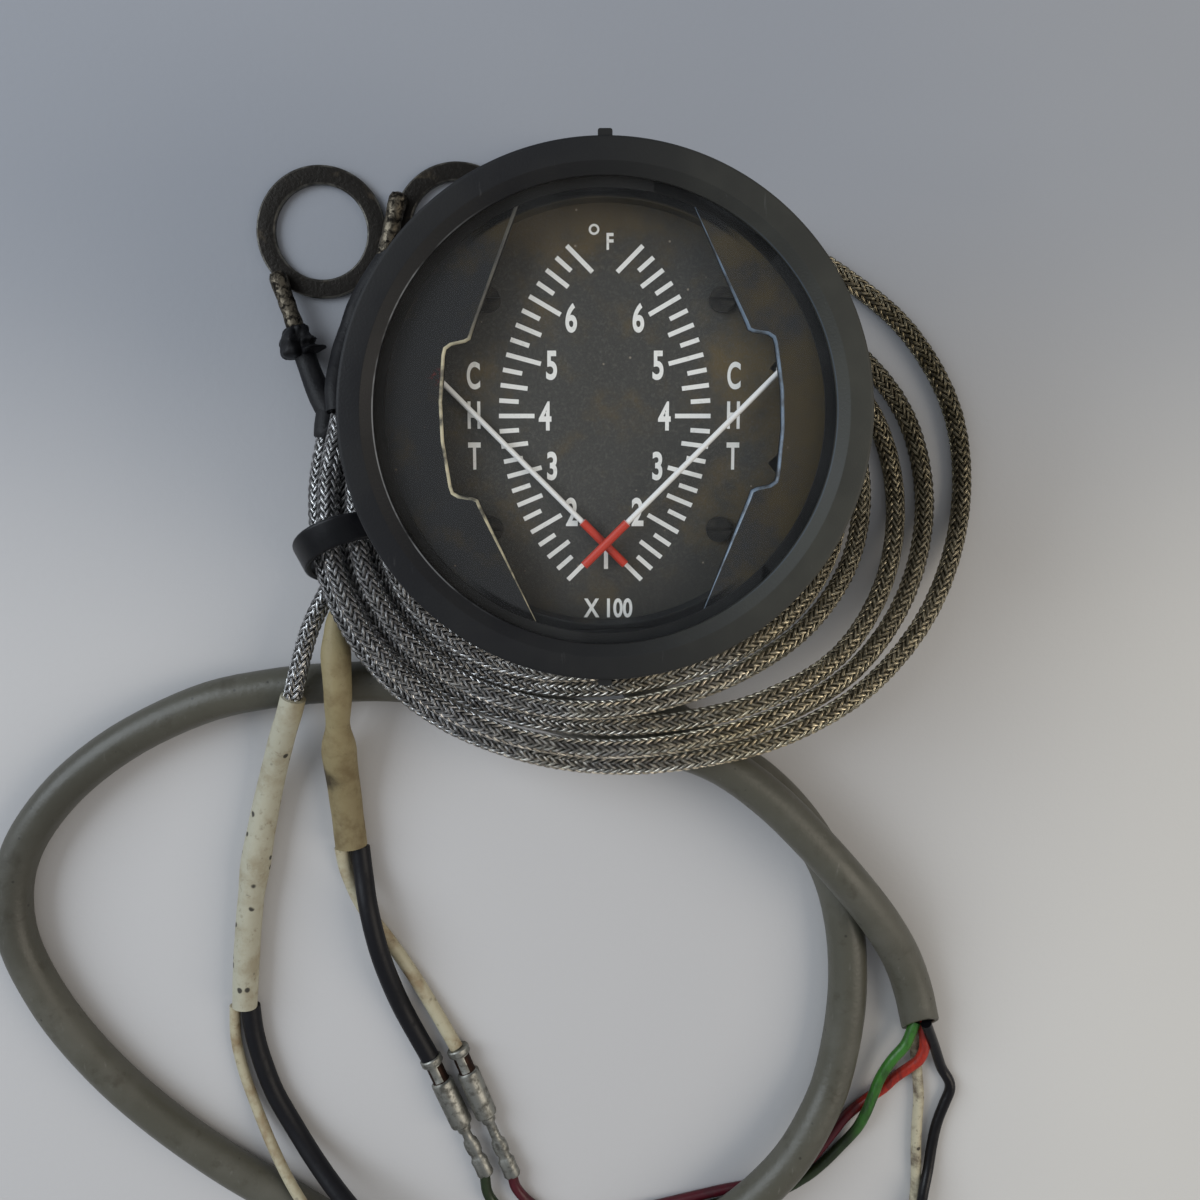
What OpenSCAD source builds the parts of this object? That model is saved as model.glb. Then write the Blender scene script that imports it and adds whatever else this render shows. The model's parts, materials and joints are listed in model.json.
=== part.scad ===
// Twin cylinder head temperature gauge with two ring sensors and their leads.
// Millimetres. The origin is on the gauge's axis at the surface it stands on,
// +Z comes out of the face and +Y points to the top of the dial.

/* [Case] */
// Outside diameter of the case behind the bezel
case_d = 52; // [51.4:0.1:53]
// Length of the case from its rear end to the flange
case_len = 36.2; // [35.6:0.1:40]
// Wall of the case
case_wall = 1; // [0.8:0.05:1.2]
// Width of the flange round the mouth of the case
flange_w = 1.5; // [1.3:0.05:2]
// Thickness of the flange
flange_t = 1.2; // [0.8:0.05:2]
// Thickness of the rear cover
cover_t = 2; // [1.6:0.1:3]
// Height of the ledge that carries the chassis, above the case's rear end
ledge_up = 5; // [4.6:0.1:6]

/* [Bezel and glass] */
// Width of the bezel's rim outside the case's flange
rim_w = 2.55; // [2:0.05:5]
// Width of the lip in front of the glass
lip_w = 1.5; // [1.2:0.1:3]
// Thickness of the bezel in front of the glass
lip_t = 1.4; // [1.2:0.1:2.5]
// Width of the shallow bevel round the glass
slope_w = 1.4; // [0.8:0.1:1.8]
// Depth of that bevel
slope_t = 0.9; // [0.4:0.05:1]
// Thickness of the hook that grips the flange
hook_t = 0.8; // [0.6:0.1:1.6]
// Width of the moulding nibs at the top and the bottom of the bezel
nib_w = 1.6; // [1:0.1:3]
// How far the nibs stand out
nib_out = 0.7; // [0.3:0.1:1.2]
// Thickness of the glass
glass_t = 1.5; // [1:0.1:3]
// Thickness of the gasket under the glass
gasket_t = 0.5; // [0.3:0.05:1]
// Width of the gasket
gasket_w = 2.1; // [1.5:0.1:2.4]

/* [Mask and dial] */
// Thickness of the mask plates
mask_t = 1.2; // [0.8:0.1:2]
// Depth of the mask's wall under its plates
mask_wall_h = 3.1; // [2:0.1:3.3]
// Thickness of that wall
mask_wall = 0.5; // [0.4:0.05:0.6]
// Turn of the mask in the case, anticlockwise
mask_turn = 2; // [0:0.5:3]
// Sideways shift of the mask's window
mask_shift = 0.8; // [0:0.1:1]
// Thickness of the dial
dial_t = 0.6; // [0.4:0.05:0.8]
// Space between the dial and the underside of the mask
dial_sunk = 3.4; // [3.3:0.05:4]
// How far inside the pivots the dial screws sit, sideways
screw_in = 1.5; // [1.2:0.05:1.8]
// Distance of the dial screws from the middle, up and down
screw_y = 13.4; // [13:0.1:14.2]

/* [Movements] */
// Angle through which a pointer turns
sweep = 90; // [60:1:96]
// Length of a pointer from its pivot to its tip
pointer_len = 24.8; // [22:0.1:26]
// Thickness of a pointer's thin rod
rod_d = 0.64; // [0.5:0.02:0.8]
// Thickness of a pointer's red end
tip_d = 1; // [0.8:0.02:1.1]
// Length of a pointer's red end
tip_len = 7.2; // [4:0.1:10]
// Distance from the pivot to the leg that comes up through the dial
leg_out = 7.8; // [7.4:0.05:8]
// Outside diameter of the iron yoke round a movement
yoke_d = 18.8; // [18.4:0.05:19]
// Room between a yoke and the case
yoke_room = 0.5; // [0.4:0.02:0.6]
// Wall of the yoke
yoke_wall = 1.7; // [1.5:0.05:1.8]
// Room between the yokes and the back of the dial
front_room = 7.4; // [6.8:0.1:8]
// Room between the chassis and the fixed cores
rear_room = 4.9; // [4.6:0.1:6]
// Thickness of the magnets
magnet_t = 2; // [1.6:0.05:2.1]
// Diameter of the fixed iron core
core_d = 8.4; // [8:0.05:8.6]
// Thickness of the moving coil's sides
loop_t = 0.75; // [0.5:0.05:0.8]
// Breadth of the moving coil's winding
loop_b = 3; // [2:0.1:3.2]
// Diameter of the pivots
pivot_d = 0.8; // [0.6:0.02:0.9]
// Diameter of the jewel screws
jewel_d = 2.2; // [2:0.05:2.4]

/* [Rear] */
// How far the studs stand out behind the cover
stud_out = 14; // [13.6:0.1:20]
// Diameter of the terminal studs
terminal_d = 3.5; // [3:0.1:3.8]
// Diameter of the two mounting studs
mount_d = 4.8; // [4:0.1:5.4]
// Room between a mounting stud and the jewel screw beside it
mount_room = 0.4; // [0.3:0.05:0.6]
// Distance of the terminals from the middle, sideways
terminal_x = 7.5; // [7:0.1:8]
// Distance of the terminals from the middle, up and down
terminal_y = 7; // [6.6:0.1:8]
// Thickness of the chassis plate
chassis_t = 1.6; // [1.2:0.1:2]

/* [Ring sensors] */
// Bore of the ring that goes under a 14 mm plug
ring_bore = 14.2; // [13.8:0.1:14.8]
// Outside diameter of the ring
ring_d = 20; // [18:0.1:20.2]
// Thickness of the ring
ring_t = 1.2; // [0.8:0.1:1.8]

/* [Leads] */
// Thickness of the braided leads
braid_d = 3; // [2.4:0.05:3.05]
// Thickness of the grey four-core cable
cable_d = 6.4; // [5.6:0.1:6.6]
// Thickness of the cable's cores
core_wire_d = 1.8; // [1.4:0.05:2]
// Turns of each lead round the case
coil_turns = 3; // [1:1:3]
// Least step from one strand to the next, where the tie draws them in
step_min = 1.8; // [1.8:0.05:2]
// How much the strands fan out on the right
step_fan = 2.9; // [2:0.1:3]
// Least distance between the middles of two strands
strand_gap = 3.7; // [3.6:0.05:3.8]
// Width of the tie round the strands
tie_w = 4.3; // [3:0.1:5]
// Thickness of the tie
tie_t = 1.1; // [0.8:0.1:1.4]

/* [Hidden] */
$fn = 96;

// Clearances
fit = 0.1;
bore_fit = 0.04;
pivot_fit = 0.05;
face = 0.05;
soft_fit = 0.3;
eps = 0.4;

// Levels, from the table upwards
cover_z = stud_out;
case_z = cover_z + cover_t;
ledge_z = case_z + ledge_up;
ledge_t = 2;
ledge_w = 1.6;
chassis_z = ledge_z + ledge_t;
works_z = chassis_z + chassis_t;
flange_z = case_z + case_len;
mask_z = flange_z + flange_t;
gasket_z = mask_z + mask_t;
glass_z = gasket_z + gasket_t;
lip_z = glass_z + glass_t;
face_z = lip_z + lip_t;
seat_z = flange_z - hook_t;
dial_z = mask_z - dial_sunk;
dial_back_z = dial_z - dial_t;
yoke_z = dial_back_z - front_room;
yoke_h = yoke_z - works_z;

// Radii, from the case outwards and inwards
case_r = case_d / 2;
case_in_r = case_r - case_wall;
flange_r = case_r + flange_w;
pocket_r = flange_r + fit;
hook_w = 0.7;
hook_r = pocket_r - hook_w;
bezel_r = pocket_r + rim_w;
lip_r = pocket_r - lip_w;
glass_r = pocket_r - 2 * fit;
gasket_r = glass_r - fit;
mask_r = gasket_r;
mask_wall_r = case_in_r - 2 * fit;
dial_r = case_in_r - 3 * fit;
yoke_r = yoke_d / 2;
pivot_x = case_in_r - yoke_r - yoke_room;
screw_x = pivot_x - screw_in;
mount_x = pivot_x + jewel_d / 2 + mount_d / 2 + mount_room;
yoke_in_r = yoke_r - yoke_wall;
magnet_r = yoke_in_r - fit;
magnet_in_r = magnet_r - magnet_t;
core_r = core_d / 2;
loop_in = core_r + soft_fit;
loop_out = loop_in + loop_t;
foot_y = yoke_r - yoke_wall / 2;
rest_turn = sweep / 2;

// Heights inside a movement
loop_over = 0.9;
core_lo = works_z + rear_room;
core_hi = yoke_z - 1.5;
loop_lo = core_lo - loop_over;
loop_hi = core_hi + loop_over;
loop_end = 0.6;
bridge_t = 1.2;
bridge_z = dial_back_z - 2.4;
arm_t = 1.2;
arm_z = bridge_z - 2.8;
jewel_deep = 0.8;
end_play = 0.2;
front_jewel_z = bridge_z - 1.2;
front_jewel_top = dial_back_z - 0.5;
rear_jewel_z = chassis_z - 0.6;
rear_jewel_top = works_z + 2.2;
spring_h = 0.6;
front_spring_z = loop_hi + 1.2;
rear_spring_z = rear_jewel_top + 0.4;
spring_in = 0.95;
spring_out = 3.2;
spring_turns = 4;
strip_t = 0.12;
collet_r = 0.75;
upper_rod_z = dial_z + 2.2;
lower_rod_z = dial_z + 1;

// Shared shapes
module tube(r_out, r_in, h) {
    difference() {
        cylinder(r = r_out, h = h);
        translate([0, 0, -1]) cylinder(r = r_in, h = h + 2);
    }
}

module at_screws() {
    for (x = [-screw_x, screw_x], y = [-screw_y, screw_y]) translate([x, y, 0]) children();
}

module hex(across, h) {
    cylinder(d = across / cos(30), h = h, $fn = 6);
}

function sector(r, a) = [for (i = [-1 : 0.25 : 1]) r * [cos(i * a), sin(i * a)]];

// Case
boss_in = 2;
boss_at = [for (a = [90, 210, 330]) (case_in_r - boss_in) * [cos(a), sin(a)]];
cover_screw_r = 0.9;
cover_head_h = 1.2;
slot_w = 0.5;
slot_deep = 0.5;
boss_r = 1.9;
boss_floor = 0.4;
screw_end = 1;
spigot_h = 1.5;

module case() {
    color("dimgray") difference() {
        union() {
            translate([0, 0, case_z]) tube(case_r, case_in_r, case_len + eps);
            translate([0, 0, flange_z]) tube(flange_r, case_in_r, flange_t);
            translate([0, 0, ledge_z]) tube(case_r - case_wall / 2, case_in_r - ledge_w, ledge_t);
            for (p = boss_at) translate([p.x, p.y, case_z + spigot_h + fit]) boss();
        }
        for (p = boss_at) translate([p.x, p.y, case_z])
            cylinder(r = cover_screw_r + bore_fit, h = ledge_up - boss_floor);
    }
}

module boss() {
    cylinder(r = boss_r, h = ledge_up - spigot_h);
}

module rear_cover() {
    color("black") difference() {
        union() {
            translate([0, 0, cover_z]) cylinder(r = case_r, h = cover_t);
            translate([0, 0, case_z - eps])
                tube(case_in_r - fit, case_in_r - ledge_w, spigot_h + eps);
        }
        for (p = boss_at) translate([p.x, p.y, 0]) {
            cylinder(r = cover_screw_r + bore_fit, h = case_z + spigot_h + 1);
            translate([0, 0, case_z]) cylinder(r = boss_r + soft_fit, h = spigot_h + 1);
        }
        for (p = terminal_at) translate([p.x, p.y, 0])
            cylinder(d = terminal_d + 2 * bore_fit, h = case_z + 1);
        at_mounts() cylinder(d = mount_d + neck_over + 2 * bore_fit, h = case_z + 1);
        at_mounts() translate([0, 0, case_z]) cylinder(r = shoulder_r + soft_fit, h = spigot_h + 1);
    }
}

module rear_cover_screws() {
    color("silver") for (p = boss_at) translate([p.x, p.y, 0]) {
        translate([0, 0, cover_z - cover_head_h]) difference() {
            cylinder(r = boss_r, h = cover_head_h);
            translate([-boss_r, -slot_w / 2, -1]) cube([2 * boss_r, slot_w, 1 + slot_deep]);
        }
        translate([0, 0, cover_z - eps])
            cylinder(r = cover_screw_r, h = cover_t + ledge_up - screw_end);
    }
}

// Bezel, glass and mask

module bezel() {
    edge = 0.25;
    color("dimgray") difference() {
        union() {
            translate([0, 0, seat_z]) cylinder(r = bezel_r, h = face_z - seat_z - edge);
            translate([0, 0, face_z - edge]) cylinder(r1 = bezel_r, r2 = bezel_r - edge, h = edge);
            for (s = [-1, 1]) translate([-nib_w / 2, s > 0 ? bezel_r - 1 : -bezel_r - nib_out, seat_z])
                cube([nib_w, nib_out + 1, lip_t + glass_t]);
        }
        translate([0, 0, seat_z - 1]) cylinder(r = hook_r, h = hook_t + 2);
        translate([0, 0, flange_z]) cylinder(r = pocket_r, h = lip_z - flange_z);
        translate([0, 0, lip_z - 1]) cylinder(r = lip_r, h = lip_t + 2);
        translate([0, 0, face_z - slope_t]) cylinder(r1 = lip_r, r2 = lip_r + slope_w, h = slope_t);
        translate([0, 0, face_z]) cylinder(r = lip_r + slope_w, h = 1);
    }
}

module lens() {
    color([0.8, 0.9, 0.9, 0.3]) translate([0, 0, glass_z]) cylinder(r = glass_r, h = glass_t);
}

module lens_gasket() {
    color("black") translate([0, 0, gasket_z]) tube(gasket_r, glass_r - gasket_w - fit, gasket_t);
}

// One quarter of the window's outline, from the top to the middle of the side
window_quarter = [
    [9.2, 24.8], [15.5, 9.9], [15.8, 9.1], [16.4, 8.8], [18, 8.5], [18.6, 8.1], [18.8, 7.4], [19.4, 2.2]];
window_arc_r = 24.3;

function mirrored(points, mx, my) = [for (p = points) [mx * p.x, my * p.y]];
function backward(points) = [for (i = [len(points) - 1 : -1 : 0]) points[i]];
window = concat(
    window_quarter,
    backward(mirrored(window_quarter, 1, -1)),
    mirrored(window_quarter, -1, -1),
    backward(mirrored(window_quarter, -1, 1)));

module mask() {
    color("dimgray") rotate([0, 0, mask_turn]) {
        difference() {
            translate([0, 0, mask_z]) cylinder(r = mask_r, h = mask_t);
            intersection() {
                translate([mask_shift, 0, mask_z - 1]) linear_extrude(mask_t + 2) polygon(window);
                translate([0, 0, mask_z - 1]) union() {
                    cylinder(r = window_arc_r, h = mask_t + 2);
                    translate([0, 0, 1])
                        cylinder(r1 = window_arc_r, r2 = window_arc_r + mask_t, h = mask_t);
                    translate([0, 0, 1 + mask_t]) cylinder(r = window_arc_r + mask_t, h = 2);
                }
            }
        }
        translate([0, 0, mask_z - mask_wall_h])
            tube(mask_wall_r, mask_wall_r - mask_wall, mask_wall_h + eps);
    }
}

// Dial, its screws and pillars

slot_half = 0.8;
slot_turn = rest_turn + 7;
dial_screw_r = 0.8;

module arc_slot(side) {
    translate([side * pivot_x, 0, dial_back_z - 1]) rotate([0, 0, side > 0 ? 0 : 180])
        intersection() {
            tube(leg_out + slot_half, leg_out - slot_half, dial_t + 2);
            linear_extrude(dial_t + 2) polygon(concat([[0, 0]], sector(3 * leg_out, slot_turn)));
        }
}

module dial() {
    color("black") difference() {
        translate([0, 0, dial_back_z]) cylinder(r = dial_r, h = dial_t);
        arc_slot(1);
        arc_slot(-1);
        at_screws() translate([0, 0, dial_back_z - 1])
            cylinder(r = dial_screw_r + bore_fit, h = dial_t + 2);
    }
}

dial_screw_in = 3;

module dial_screws() {
    dial_head_r = 1.5;
    dial_head_h = 0.7;
    groove_w = 0.4;
    color("dimgray") at_screws() difference() {
        union() {
            translate([0, 0, dial_z]) cylinder(r = dial_head_r, h = dial_head_h);
            translate([0, 0, dial_back_z - dial_screw_in])
                cylinder(r = dial_screw_r, h = dial_t + dial_screw_in + eps / 2);
        }
        translate([-dial_head_r, -groove_w / 2, dial_z + dial_head_h - groove_w])
            cube([2 * dial_head_r, groove_w, 1]);
    }
}

module dial_pillars() {
    pillar_r = 2;
    color("goldenrod") at_screws() difference() {
        translate([0, 0, works_z]) cylinder(r = pillar_r, h = dial_back_z - works_z);
        translate([0, 0, dial_back_z - dial_screw_in - 0.5])
            cylinder(r = dial_screw_r + bore_fit, h = dial_screw_in + 1);
    }
}

wire_hole = 1;
wire_x = 7;
wire_y = 11;
wire_at = [for (x = [-wire_x, wire_x], y = [-wire_y, wire_y]) [x, y]];

module chassis() {
    color("silver") difference() {
        translate([0, 0, chassis_z]) cylinder(r = case_in_r - 4 * fit, h = chassis_t);
        for (s = [-1, 1]) translate([s * pivot_x, 0, chassis_z - 1])
            cylinder(d = jewel_d + 2 * bore_fit, h = chassis_t + 2);
        at_mounts() translate([0, 0, chassis_z - 1])
            cylinder(d = mount_d - neck_over + 2 * bore_fit, h = chassis_t + 2);
        for (p = wire_at) translate([p.x, p.y, chassis_z - 1])
            cylinder(r = wire_hole, h = chassis_t + 2);
    }
}

// Movements: drawn at the pivot, the coil and pointer along +X

module movement(side, turned) {
    angle = side > 0 ? 180 + rest_turn : -rest_turn;
    translate([side * pivot_x, 0, 0]) rotate([0, 0, turned ? angle : 0]) children();
}

module at_feet() {
    for (y = [-foot_y, foot_y]) translate([0, y, 0]) children();
}

bridge_screw_r = 0.5;
bridge_screw_in = 3;
bridge_head_r = 1.1;
bridge_head_h = 0.7;

module yoke(side) {
    color("slategray") movement(side, false) difference() {
        translate([0, 0, works_z]) tube(yoke_r, yoke_in_r, yoke_h);
        at_feet() translate([0, 0, yoke_z - bridge_screw_in - 1])
            cylinder(r = bridge_screw_r + bore_fit, h = bridge_screw_in + 2);
    }
}

module magnets(side) {
    arc = 65;
    color("darkslategray") movement(side, false) for (turn = [0, 180]) rotate([0, 0, turn])
        translate([0, 0, works_z + face]) intersection() {
            tube(magnet_r, magnet_in_r, yoke_h - 1.5);
            linear_extrude(yoke_h) polygon(concat([[0, 0]], sector(3 * yoke_r, arc)));
        }
}

module iron_core(side) {
    web = 2.4;
    web_end = sqrt(yoke_in_r * yoke_in_r - web * web / 4) - face;
    color("gray") movement(side, false) {
        translate([0, 0, core_lo]) cylinder(r = core_r, h = core_hi - core_lo);
        for (s = [-1, 1]) translate([-web / 2, s > 0 ? core_r - 1 : -web_end, core_lo + 1])
            cube([web, web_end - core_r + 1, core_hi - core_lo - 2]);
    }
}

module moving_coil(side) {
    color("peru") movement(side, true) difference() {
        translate([-loop_out, -loop_b / 2, loop_lo]) cube([2 * loop_out, loop_b, loop_hi - loop_lo]);
        translate([-loop_in, -loop_b, loop_lo + loop_end])
            cube([2 * loop_in, 2 * loop_b, loop_hi - loop_lo - 2 * loop_end]);
    }
}

module staff(side) {
    r = pivot_d / 2;
    color("silver") movement(side, true) {
        translate([0, 0, loop_hi]) cylinder(r = r, h = front_jewel_z + jewel_deep - end_play - loop_hi);
        translate([0, 0, front_spring_z]) cylinder(r = collet_r, h = spring_h);
        translate([0, 0, rear_jewel_top - jewel_deep + end_play])
            cylinder(r = r, h = loop_lo - rear_jewel_top + jewel_deep - end_play);
        translate([0, 0, rear_spring_z]) cylinder(r = collet_r, h = spring_h);
    }
}

module pointer(side, rod_z) {
    hub_r = 1.2;
    arm_w = 1.6;
    leg_r = 0.4;
    color("white") movement(side, true) {
        difference() {
            union() {
                translate([0, 0, arm_z]) cylinder(r = hub_r, h = arm_t);
                translate([-leg_out, -arm_w / 2, arm_z]) cube([leg_out, arm_w, arm_t]);
                translate([-leg_out, 0, arm_z]) cylinder(r = arm_w / 2, h = arm_t);
            }
            translate([0, 0, arm_z - 1]) cylinder(r = pivot_d / 2 + pivot_fit / 2, h = arm_t + 2);
        }
        translate([-leg_out, 0, arm_z + arm_t / 2]) cylinder(r = leg_r, h = rod_z - arm_z - arm_t / 2);
        translate([-leg_out, 0, rod_z]) sphere(r = leg_r);
        translate([-leg_out, 0, rod_z]) rotate([0, 90, 0])
            cylinder(d = rod_d, h = leg_out + pointer_len - tip_len + eps);
    }
    color("red") movement(side, true) translate([pointer_len - tip_len, 0, rod_z]) rotate([0, 90, 0])
        cylinder(d = tip_d, h = tip_len);
}

function spiral(r, turns) = [for (i = [0 : 24 * turns])
    let(a = 15 * i, q = r + (spring_out - spring_in) * i / (24 * turns)) q * [cos(a), sin(a)]];

module spring_band() {
    linear_extrude(spring_h) polygon(concat(
        spiral(spring_in + strip_t / 2, spring_turns),
        backward(spiral(spring_in - strip_t / 2, spring_turns))));
}

module hairsprings(side) {
    post_r = 0.4;
    color("orange") movement(side, false) rotate([0, 0, side > 0 ? 0 : 180]) {
        translate([0, 0, rear_spring_z]) spring_band();
        translate([spring_out + post_r / 2, 0, works_z])
            cylinder(r = post_r, h = rear_spring_z + spring_h - works_z);
        translate([0, 0, front_spring_z]) spring_band();
        translate([spring_out - strip_t / 2, -post_r / 2, front_spring_z])
            cube([foot_y - spring_out + post_r / 2, post_r, spring_h]);
        translate([foot_y, 0, yoke_z]) cylinder(r = post_r, h = front_spring_z + spring_h - yoke_z);
    }
}

module bridge(side) {
    strip_w = 3.6;
    foot_r = 1;
    color("goldenrod") movement(side, false) difference() {
        union() {
            translate([-strip_w / 2, -foot_y - foot_r, bridge_z])
                cube([strip_w, 2 * (foot_y + foot_r), bridge_t]);
            at_feet() translate([0, 0, yoke_z]) cylinder(r = foot_r, h = bridge_z - yoke_z + eps);
        }
        translate([0, 0, bridge_z - 1]) cylinder(d = jewel_d + 2 * bore_fit, h = bridge_t + 2);
        at_feet() translate([0, 0, yoke_z - 1])
            cylinder(r = bridge_screw_r + bore_fit, h = bridge_z + bridge_t - yoke_z + 2);
    }
}

module bridge_screws() {
    color("silver") for (s = [-1, 1]) movement(s, false) at_feet() {
        translate([0, 0, yoke_z - bridge_screw_in])
            cylinder(r = bridge_screw_r, h = bridge_z + bridge_t - yoke_z + bridge_screw_in + eps / 2);
        translate([0, 0, bridge_z + bridge_t]) cylinder(r = bridge_head_r, h = bridge_head_h);
    }
}

module jewel_screws() {
    bore_r = pivot_d / 2 + pivot_fit;
    color("gold") for (s = [-1, 1]) movement(s, false) {
        translate([0, 0, front_jewel_z]) difference() {
            cylinder(d = jewel_d, h = front_jewel_top - front_jewel_z);
            translate([0, 0, -1]) cylinder(r = bore_r, h = 1 + jewel_deep);
        }
        translate([0, 0, rear_jewel_z]) difference() {
            cylinder(d = jewel_d, h = rear_jewel_top - rear_jewel_z);
            translate([0, 0, rear_jewel_top - rear_jewel_z - jewel_deep])
                cylinder(r = bore_r, h = 1 + jewel_deep);
        }
    }
}

// Studs, nuts and tags behind the case

terminal_at = [for (x = [-terminal_x, terminal_x], y = [-terminal_y, terminal_y]) [x, y]];
head_h = 2;
head_r = 3;
nut_h = 2.4;
nut_across = 6;
shoulder_r = 4;
shoulder_h = 2.5;
neck_over = 0.8;
tag_t = 0.6;
tag_z = cover_z - nut_h - face - tag_t;
tag_r = 3;
barrel_r = 1.3;
barrel_len = 3.6;
barrel_at = nut_across / 2 / cos(30) + 2 * fit;

module at_mounts() {
    for (s = [-1, 1]) translate([s * mount_x, 0, 0]) children();
}

// Direction in which the tags on one side point
function tag_angle(side) = 270 - 27 * side;

module terminal_studs() {
    color("goldenrod") for (p = terminal_at) translate([p.x, p.y, 0]) {
        cylinder(d = terminal_d, h = case_z + head_h / 2);
        translate([0, 0, case_z]) cylinder(r = head_r, h = head_h);
    }
}

module terminal_nuts() {
    color("silver") for (p = terminal_at, z = [cover_z - nut_h, tag_z - face - nut_h])
        translate([p.x, p.y, z]) difference() {
            hex(nut_across, nut_h);
            translate([0, 0, -1]) cylinder(d = terminal_d + 2 * bore_fit, h = nut_h + 2);
        }
}

module terminal_tags() {
    color("silver") for (p = terminal_at) translate([p.x, p.y, tag_z])
        rotate([0, 0, tag_angle(sign(p.x))]) {
            tube(tag_r, terminal_d / 2 + bore_fit, tag_t);
            translate([tag_r - eps, -barrel_r, 0])
                cube([barrel_at - tag_r + 2 * eps, 2 * barrel_r, tag_t]);
            translate([barrel_at, 0, tag_t / 2]) rotate([0, 90, 0])
                cylinder(r = barrel_r, h = barrel_len);
        }
}

module mounting_studs() {
    color("silver") at_mounts() {
        cylinder(d = mount_d, h = cover_z + eps);
        translate([0, 0, cover_z]) cylinder(d = mount_d + neck_over, h = cover_t + eps);
        translate([0, 0, case_z]) cylinder(r = shoulder_r, h = shoulder_h);
        translate([0, 0, case_z + shoulder_h - eps])
            cylinder(d = mount_d - neck_over, h = works_z - fit - case_z - shoulder_h + eps);
    }
}

resistor_len = 8;
resistor_r = 2.2;
resistor_y = 8;

module resistors() {
    color("darkgreen") for (y = [-resistor_y, resistor_y])
        translate([-resistor_len / 2, y, works_z + resistor_r]) rotate([0, 90, 0])
            cylinder(r = resistor_r, h = resistor_len);
}

// Tubes: a polyhedron swept along a list of points

function unit(v) = v / norm(v);
function along(path, i) = unit(path[min(i + 1, len(path) - 1)] - path[max(i - 1, 0)]);
function ring(c, dir, r, sides) = let(
    up = abs(dir.z) > 0.95 ? [1, 0, 0] : [0, 0, 1],
    u = unit(cross(up, dir)),
    v = cross(dir, u))
    [for (k = [0 : sides - 1]) c + r * (cos(360 * k / sides) * u + sin(360 * k / sides) * v)];

// Each ring is square to the line through its neighbours, and has a corner on the level of its middle
module sweep_tube(path, d, sides) {
    n = len(path);
    points = [for (i = [0 : n - 1]) each ring(path[i], along(path, i), d / 2, sides)];
    walls = [for (i = [0 : n - 2], k = [0 : sides - 1]) let(
        a = i * sides + k, b = i * sides + (k + 1) % sides)
        each [[a, a + sides, b], [b, a + sides, b + sides]]];
    caps = [for (k = [1 : sides - 2]) each [[0, k, k + 1],
        [(n - 1) * sides, (n - 1) * sides + k + 1, (n - 1) * sides + k]]];
    polyhedron(points = points, faces = concat(walls, caps), convexity = 6);
}

// Each terminal's wire goes through the chassis to a resistor, and another from there up to a bridge
module inner_wires() {
    wire_d = 0.7;
    bend = 1;
    beside = resistor_y + resistor_r + wire_d / 2 + face;
    color("red") for (x = [-1, 1], y = [-1, 1]) {
        sweep_tube([
            [x * terminal_x, y * terminal_y, case_z + head_h + face],
            [x * terminal_x, y * (terminal_y + bend), case_z + head_h + 2 * bend],
            [x * wire_x, y * (wire_y - bend), chassis_z - 1.5 * bend],
            [x * wire_x, y * wire_y, chassis_z], [x * wire_x, y * wire_y, works_z + bend],
            [x * (wire_x - bend), y * (resistor_y + bend), works_z + resistor_r],
            [x * (resistor_len / 2 + face), y * resistor_y, works_z + resistor_r]], wire_d, 6);
        sweep_tube([
            [x * (resistor_len / 2 - bend), y * beside, works_z + resistor_r],
            [x * resistor_len / 2, y * (beside + bend), works_z + resistor_r + 4 * bend],
            [x * wire_x, y * (beside + 2 * bend), yoke_z - 5 * bend],
            [x * (pivot_x - 4 * bend), y * (beside + bend), yoke_z + bend],
            [x * (pivot_x - 2 * bend), y * (foot_y + bend), yoke_z + 3 * bend],
            [x * (pivot_x - 1.5 * bend), y * foot_y, yoke_z + 3.5 * bend]], wire_d, 6);
    }
}

// Ring sensors
sensor_d = 3.2;
ring_a_at = [-43.5, 28];
ring_b_at = [-22.5, 28.5];
ring_a_turn = 229;
ring_b_turn = 156;
crimp_a_turn = 288;
crimp_b_turn = 256;
crimp_r = 1.4;
crimp_z = ring_t + soft_fit + sensor_d / 2;
crimp_len = 9;
seam_w = 0.2;

// A ring with its crimp barrel, which folds up from the rim and lies across it
module sensor_ring(at, turn, crimp_turn) {
    start = at + (ring_d / 2 - eps) * [cos(turn), sin(turn)];
    color("gray") {
        translate([at.x, at.y, 0]) tube(ring_d / 2, ring_bore / 2, ring_t);
        translate([start.x, start.y, 0]) cylinder(r = crimp_r - fit, h = crimp_z);
        translate([start.x, start.y, crimp_z]) rotate([0, 0, crimp_turn]) difference() {
            translate([-eps, 0, 0]) rotate([0, 90, 0]) cylinder(r = crimp_r, h = crimp_len + eps);
            translate([crimp_len / 3, -seam_w / 2, 0]) cube([crimp_len, seam_w, crimp_r + 1]);
        }
    }
}

sensor_a_path = [
    [-46.9, 11.8, 3.1], [-45.9, 8.6, 3.3], [-44.7, 5.6, 4.2], [-43.3, 2.8, 5.4], [-42, 0.7, 6.3]];
sensor_b_path = [
    [-33.6, 23.2, 3.1], [-34.8, 21.4, 3.2], [-36.3, 19, 3.3], [-37.4, 16.5, 3.6], [-38.7, 12.5, 4.2],
    [-39.8, 8.5, 5.8], [-40.3, 4, 8.6], [-40.1, 0.6, 9.8]];

module sensor_a_sleeve() {
    color("black") sweep_tube(sensor_a_path, sensor_d, 8);
}

module sensor_b_sleeve() {
    color("black") sweep_tube(sensor_b_path, sensor_d, 8);
}

// Coiled leads: two braided strands wound together round the case, seen from above as a spiral whose
// strands fan out on the right and are drawn in on the left. The angle counts from +X, anticlockwise.

coil_start = 180;
rings_per_turn = 24;
floor_z = 1.8;
tied_z = 12.6;
over_cable_z = 15.3;

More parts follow.
